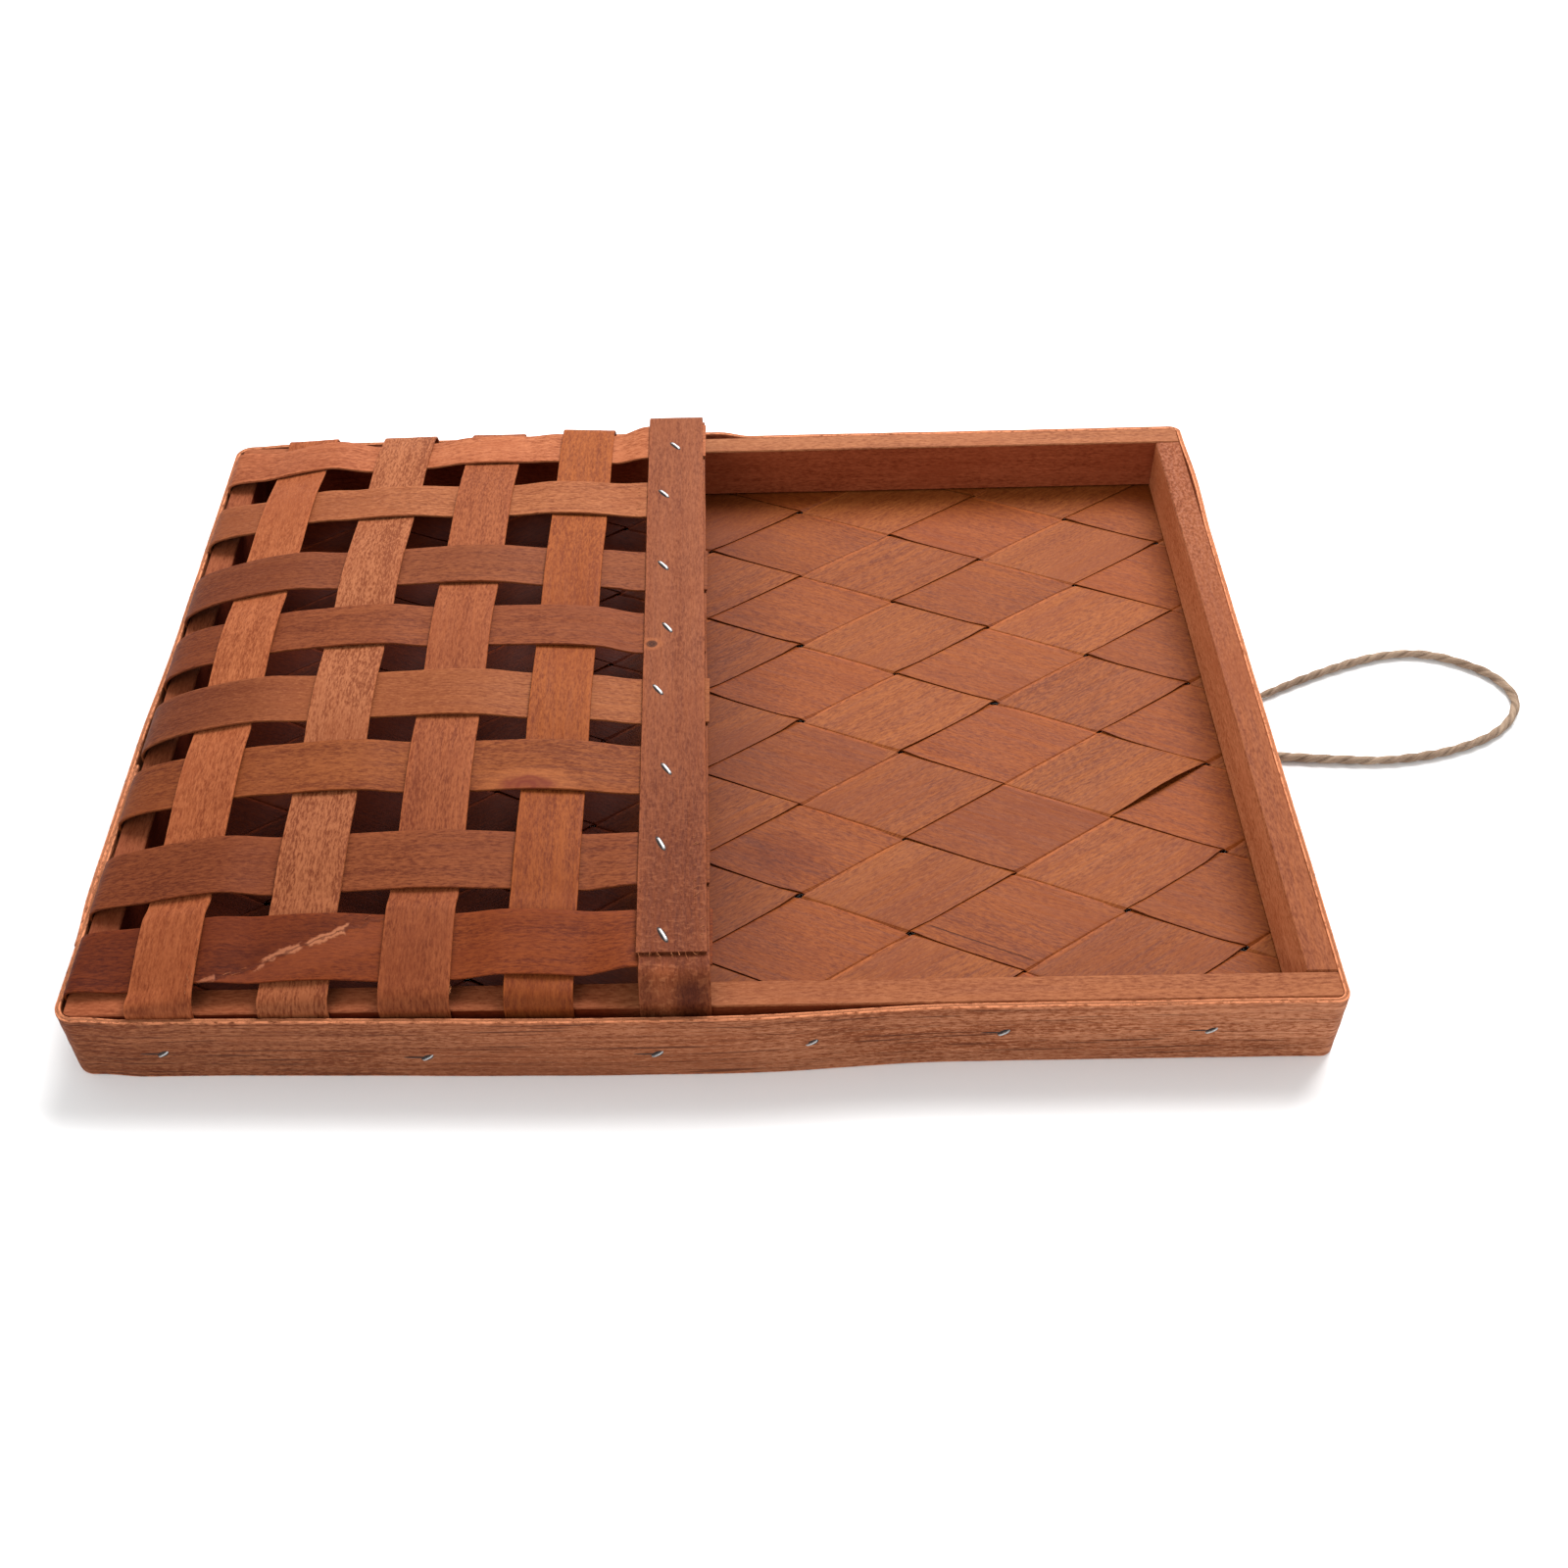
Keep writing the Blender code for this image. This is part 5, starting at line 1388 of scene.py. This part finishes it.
class BASKET_OT_staples(bpy.types.Operator):
    """Drive the wire staples of the rim, the band and the twine"""
    bl_idname = "basket.staples"
    bl_label = "Staples"

    def execute(self, context):
        proud, quarter_turn = BAND_SKIN + CROWN_LIFT, math.pi / 2
        right = [(x, -(TRAY_WIDTH / 2 + band_bulge(x, RIGHT_RUN) + proud), z) for x, z in BAND_STAPLES]
        left = [
            (x + LEFT_SHIFT, TRAY_WIDTH / 2 + band_bulge(x + LEFT_SHIFT, LEFT_RUN) + proud, z)
            for x, z in BAND_STAPLES]
        upper = [(TRAY_LENGTH / 2 + proud, y, z) for y, z in UPPER_STAPLES]
        lower_x = LOWER_BAND_INNER_X - BAND_THICKNESS - proud
        lower = [(lower_x - LAP_STEP * (y < LAP_EDGE_Y), y, z) for y, z in LOWER_STAPLES]
        band_turns = [
            *[(quarter_turn, -CROWN_LEAN, 0)] * len(right), *[(-quarter_turn, CROWN_LEAN, 0)] * len(left),
            *[(quarter_turn + CROWN_LEAN, 0, quarter_turn)] * len(upper),
            *[(quarter_turn - CROWN_LEAN, 0, -quarter_turn)] * len(lower)]
        tree, finishes = staple_tree(), {"Steel": steel_finish(), "Dark": shadow_and_split_finish()}
        for name, places, turns, path, dent, nodes in (
            (
                "rim_staple_set", [(x, y, RIM_TOP + CROWN_LIFT) for x, y, _ in RIM_STAPLES],
                [(0, 0, math.radians(turn)) for _, _, turn in RIM_STAPLES],
                staple_path(crown=0.0056, depth=0.0042, clinch=0.0017),
                shadow_and_split_mesh("rim_bruise", length=0.0072, width=0.0020, lean=-0.0001),
                [f"rim_staple_{n}" for n in range(1, 9)]),
            (
                "band_staple_set", [*right, *left, *upper, *lower], band_turns,
                staple_path(crown=0.0040, depth=0.0040),
                shadow_and_split_mesh("band_bruise", length=0.0050, width=0.0026, crack=0.0090, turn=-CROWN_LEAN),
                [f"band_staple_{n}" for n in range(1, 7)]),
            (
                "twine_staple_wire", [(0.1939, -0.0054, 0.0006)], [(math.pi, 0, 0)],
                staple_path(crown=0.0058, depth=0.0075),
                shadow_and_split_mesh("twine_bruise", length=0.0040, width=0.0016), ["twine_staple"]),
        ):
            wire, shadow_and_split = show(name + "_wire", line_mesh(name + "_wire", path)), show(name + "_bruise", dent)
            mesh = grow(name, guide_points(name, places, turns), tree, {
                "Wire": wire, "Bruise": shadow_and_split, "Wire Width": WIRE_WIDTH, "Wire Height": WIRE_HEIGHT,
                **finishes})
            for guide in (wire, shadow_and_split):
                bpy.data.objects.remove(guide)
            smooth_shade(mesh, 50)
            settle(show(name, mesh), BODY, nodes)
        return {"FINISHED"}


# The loose wood fibres

def root_on(piece, x, y):
    """The highest place of a piece beside a spot of the tray."""
    away = [(math.hypot(v.co.x - x, v.co.y - y), n) for n, v in enumerate(piece.data.vertices)]
    closest = min(away)[0]
    near = [piece.data.vertices[n].co for distance, n in away if distance < closest + 0.0010]
    return max(near, key=lambda place: (round(place.z, 5), -math.hypot(place.x - x, place.y - y)))


# Piece, first and last place of a torn or cut edge, number of fibres, and the way they point in degrees
TORN_EDGES = (
    ("cross_3", (-0.0770, -0.1500), (-0.0700, -0.1500), 14, 85),
    ("rim_outer", (-0.0160, -0.1390), (0.0004, -0.1390), 14, -80),
    ("rim_outer", (0.0012, -0.1380), (0.0006, -0.0900), 16, 30),
    ("long_8", (-0.1520, -0.1438), (-0.0990, -0.1226), 14, 22),
    ("long_2", (-0.0260, 0.0815), (-0.0250, 0.0990), 10, 5),
    ("cross_1", (-0.1570, -0.1300), (-0.1570, -0.1480), 8, -70),
    ("band", (0.1560, -0.1515), (0.1960, -0.1515), 26, 8),
    ("band", (-0.1900, -0.1520), (-0.0500, -0.1545), 34, 176),
)
# Each spreads numbers evenly from 0 to 1 without a pattern
GOLDEN, PLASTIC = 0.61803, 0.3247


class BASKET_OT_fibres(bpy.types.Operator):
    """Raise fine wood fibres where splints, rim and band are torn or sawn"""
    bl_idname = "basket.fibres"
    bl_label = "Wood Fibres"

    def execute(self, context):
        places, turns = [], []
        for name, first, last, count, heading in TORN_EDGES:
            piece = bpy.data.objects[name]
            for n in range(count):
                share = (n * GOLDEN + 0.3) % 1
                x, y = (a + (b - a) * share for a, b in zip(first, last))
                x, y = x + 0.0005 * wave(n * 3.1, 2.0), y + 0.0005 * wave(n * 2.7, 8.0)
                places.append(root_on(piece, x, y) - Vector((0, 0, 0.00005)))
                aim = math.radians(heading + 25 * wave(n * 2.3, 5.0))
                turns.append((0.0, -0.10 - 0.12 * wave(n * 1.7), aim))
        line = [(t, 0.06 * math.sin(4 * t), 0.10 * t * t) for t in span(0, 1, 0.25)]
        finish = wood_finish("wood_fibre", context.scene.basket_wood.rail, (1.25, 1.4, 1.5), "X", relief=0.2)
        mesh = strewn(
            "loose_fibres", places, turns, line, Radius=0.00007, Shortest=0.0009, Longest=0.0030, Spread=0.25,
            Seed=3, Material=finish)
        settle(show("loose_fibres", mesh), BODY)
        return {"FINISHED"}


# The twine

TWINE_SIDES = 26
# Points at each end of the loop that have no loose fibres
BARE_END = 10


def twine_tube(name, route, diameter, lay, seed, material):
    """Two plies twisted into one cord: a tube whose lobed outline turns as it goes."""
    path, sides = smooth_route(route, pitch=0.0008), TWINE_SIDES
    for i, place in enumerate(path):
        free = eased(min(i, len(path) - 1 - i) / 25)
        place.x += 0.00035 * free * wave(i * 0.052, seed + 20)
        place.y += 0.00045 * free * wave(i * 0.047, seed + 30)
    points, faces, places, groove_shade = [], [], [], []
    length = 0.0
    for i, here in enumerate(path):
        before, after = path[max(0, i - 1)], path[min(len(path) - 1, i + 1)]
        ahead = (after - before).normalized()
        length += (here - path[i - 1]).length if i else 0.0
        side = ahead.cross(Vector((0, 0, 1))).normalized()
        up = side.cross(ahead)
        swell = 1 + 0.08 * wave(length * 70, seed) + 0.05 * wave(length * 260, seed + 3)
        swell *= 0.80 + 0.20 * eased(length / 0.045)
        twist = 2 * math.pi * length / lay + 0.5 * wave(length * 40, seed + 8)
        for k in range(sides):
            angle = 2 * math.pi * k / sides
            lobe = abs(math.cos(angle - twist))
            radius = diameter / 2 * swell * (0.70 + 0.31 * lobe ** 0.70)
            points.append(here + (side * math.cos(angle) + up * math.sin(angle)) * radius)
            turn = (angle - twist) / (2 * math.pi)
            places += [length, (turn % 1) * diameter * math.pi, seed]
            # How deep a point lies in the groove between the plies, for painted shade
            groove_shade.append(max(0.0, 1 - lobe * 2.6))
        if i:
            for k in range(sides):
                a, b = (i - 1) * sides + k, (i - 1) * sides + (k + 1) % sides
                faces.append((a, b, b + sides, a + sides))
    faces.append(tuple(reversed(range(sides))))
    last = (len(path) - 1) * sides
    faces.append(tuple(range(last, last + sides)))
    mesh = new_mesh(name, points, [tuple(reversed(f)) for f in faces])
    keep(mesh, places, groove_shade, 80)
    return show(name, mesh, material), path


class BASKET_OT_twine(bpy.types.Operator):
    """Twist the hanging loop and its run behind the upper rail"""
    bl_idname = "basket.twine"
    bl_label = "Twine"

    def execute(self, context):
        settings = context.scene.basket_twine
        finish = twine_finish("twine_fibre", stain(198, 172, 147), stain(122, 94, 74))
        loop_route = [(x, y, LOOP_HEIGHT) for x, y in LOOP_ROUTE]
        loop, path = twine_tube("twine_loop", loop_route, settings.diameter, settings.lay, 1.0, finish)
        settle(loop, LOOP_BODY, ["hanging_loop"])
        # The run bends up a little way into the loop, so that they still meet when the loop stands up
        elbows = [[(x, y, z) for x, z in ELBOW] for y in NOTCHES]
        run_route = [*elbows[0], *BACK_ROUTE, *reversed(elbows[1])]
        run, _ = twine_tube("twine_run", run_route, settings.diameter * 0.94, settings.lay, 6.0, finish)
        settle(run, BODY, ["twine_back_run"])
        fuzz = self.fuzz(path, settings)
        settle(fuzz, LOOP_BODY)
        length = sum((b - a).length for a, b in zip(path, path[1:]))
        return {"FINISHED"}

    def fuzz(self, path, settings):
        """Loose fibres that stand off the loop."""
        places, turns = [], []
        for n in range(settings.fuzz):
            i = BARE_END + int((len(path) - 2 * BARE_END) * (n * GOLDEN % 1))
            ahead = (path[i + 1] - path[i]).normalized()
            around = math.pi * 2 * (n * PLASTIC % 1)
            side = ahead.cross(Vector((0, 0, 1)))
            out = side * math.cos(around) + Vector((0, 0, 1)) * math.sin(around)
            place = path[i] + out * settings.diameter * 0.36
            place.z = max(place.z, 0.0006)
            places.append(place)
            turns.append((0, -0.15 - 0.4 * max(0.0, math.sin(around)), math.atan2(ahead.y, ahead.x)))
        line = [
            (t, 0.16 * t * t + 0.05 * math.sin(5 * t), 0.10 * math.sin(3.2 * t)) for t in span(0, 1, 0.16)]
        finish = twine_finish("twine_fuzz_fibre", stain(226, 202, 182), stain(186, 156, 132))
        mesh = strewn(
            "twine_fuzz", places, turns, line, Radius=0.00005, Shortest=0.0018, Longest=0.0062, Spread=0.5,
            Seed=7, Material=finish)
        for vertex in mesh.vertices:
            # Beside the band the hairs lie low, so that they clear it when the loop stands up
            clear = eased((vertex.co.x - TRAY_LENGTH / 2 - BAND_HEIGHT - 0.0010) / 0.006)
            above = max(0.0, vertex.co.z - LOOP_TOP)
            vertex.co.z = max(vertex.co.z - above * 0.85 * (1 - clear), 0.0001)
        return show("twine_fuzz", mesh)


# The stage

PHOTO_SIZE = 1600
FOCAL_PIXELS = 1830.448
CENTRE_PIXELS = (739.573, 799.538)
CAMERA_PLACE = Vector((0.022978, -0.485772, 0.468843))
CAMERA_PITCH, CAMERA_YAW, CAMERA_ROLL = 0.7958, -0.0319, -0.0414
FLOOR_SIZE, FLOOR_DROP = 3.0, 0.0001


def photo_camera():
    """A camera where the photograph was taken from."""
    ahead = Vector((
        math.sin(CAMERA_YAW) * math.cos(CAMERA_PITCH), math.cos(CAMERA_YAW) * math.cos(CAMERA_PITCH),
        -math.sin(CAMERA_PITCH)))
    level = Vector((math.cos(CAMERA_YAW), -math.sin(CAMERA_YAW), 0))
    above = level.cross(ahead)
    right = level * math.cos(CAMERA_ROLL) + above * math.sin(CAMERA_ROLL)
    up = above * math.cos(CAMERA_ROLL) - level * math.sin(CAMERA_ROLL)
    data = bpy.data.cameras.new("photo_camera")
    data.sensor_width = 36
    data.lens = FOCAL_PIXELS * data.sensor_width / PHOTO_SIZE
    data.shift_x = (PHOTO_SIZE / 2 - CENTRE_PIXELS[0]) / PHOTO_SIZE
    data.shift_y = (CENTRE_PIXELS[1] - PHOTO_SIZE / 2) / PHOTO_SIZE
    data.clip_start = 0.01
    camera = bpy.data.objects.new("photo_camera", data)
    camera.matrix_world = Matrix.Translation(CAMERA_PLACE) @ Matrix((right, up, -ahead)).transposed().to_4x4()
    bpy.context.scene.collection.objects.link(camera)
    bpy.context.scene.camera = camera


def soft_light(name, place, size, power):
    """A large light that faces the middle of the tray."""
    data = bpy.data.lights.new(name, "AREA")
    data.shape = "RECTANGLE"
    data.size, data.size_y = size
    data.energy = power
    light = bpy.data.objects.new(name, data)
    light.location = place
    light.rotation_mode = "QUATERNION"
    light.rotation_quaternion = (-Vector(place)).to_track_quat("-Z", "Y")
    bpy.context.scene.collection.objects.link(light)


class BASKET_OT_stage(bpy.types.Operator):
    """Set the floor, the soft studio light and the camera"""
    bl_idname = "basket.stage"
    bl_label = "Stage"

    def execute(self, context):
        settings = context.scene.basket_stage
        photo_camera()
        mesh = bpy.data.meshes.new("floor")
        shape = bmesh.new()
        bmesh.ops.create_grid(shape, x_segments=4, y_segments=4, size=FLOOR_SIZE)
        bmesh.ops.translate(shape, verts=shape.verts, vec=(0, 0, -FLOOR_DROP))
        shape.to_mesh(mesh)
        shape.free()
        material, _, shader = new_finish("floor_paint")
        shader.inputs["Base Color"].default_value = (*settings.floor, 1.0)
        shader.inputs["Roughness"].default_value = 0.9
        show("floor", mesh, material)
        soft_light("key_light", place=(0.38, 0.80, 1.12), size=(1.1, 0.7), power=settings.key_power)
        soft_light("fill_light", place=(-0.70, -1.05, 0.80), size=(1.0, 0.7), power=settings.fill_power)
        world = bpy.data.worlds.new("studio")
        world.use_nodes = True
        sky = world.node_tree.nodes["Background"]
        sky.inputs["Color"].default_value = (1, 1, 1, 1)
        sky.inputs["Strength"].default_value = settings.sky
        context.scene.world = world
        context.scene.view_settings.view_transform = "Standard"
        return {"FINISHED"}


class BASKET_PT_panel(bpy.types.Panel):
    """The basket's pieces and settings"""
    bl_idname = "BASKET_PT_panel"
    bl_label = "Wall Hanging Basket"
    bl_space_type = "VIEW_3D"
    bl_region_type = "UI"
    bl_category = "Basket"

    def draw(self, context):
        for operator in OPERATORS:
            self.layout.operator(operator.bl_idname)
        for group in SETTINGS:
            box = self.layout.box()
            box.label(text=group.removeprefix("basket_").title())
            settings = getattr(context.scene, group)
            for name in settings.bl_rna.properties.keys():
                if name not in ("rna_type", "name"):
                    box.prop(settings, name)


OPERATORS = (
    BASKET_OT_stage, BASKET_OT_twine, BASKET_OT_rails, BASKET_OT_band, BASKET_OT_back_weave,
    BASKET_OT_pocket, BASKET_OT_rim, BASKET_OT_staples, BASKET_OT_fibres,
)
SETTINGS = {
    "basket_wood": WoodSettings, "basket_back": BackSettings, "basket_twine": TwineSettings,
    "basket_stage": StageSettings,
}


def register():
    for group in (*SETTINGS.values(), *OPERATORS, BASKET_PT_panel):
        bpy.utils.register_class(group)
    for name, group in SETTINGS.items():
        setattr(bpy.types.Scene, name, PointerProperty(type=group))


def unregister():
    for name in SETTINGS:
        delattr(bpy.types.Scene, name)
    for group in reversed((*SETTINGS.values(), *OPERATORS, BASKET_PT_panel)):
        bpy.utils.unregister_class(group)


def main():
    register()
    for operator in OPERATORS:
        group, name = operator.bl_idname.split(".")
        getattr(getattr(bpy.ops, group), name)()


if __name__ == "__main__":
    main()
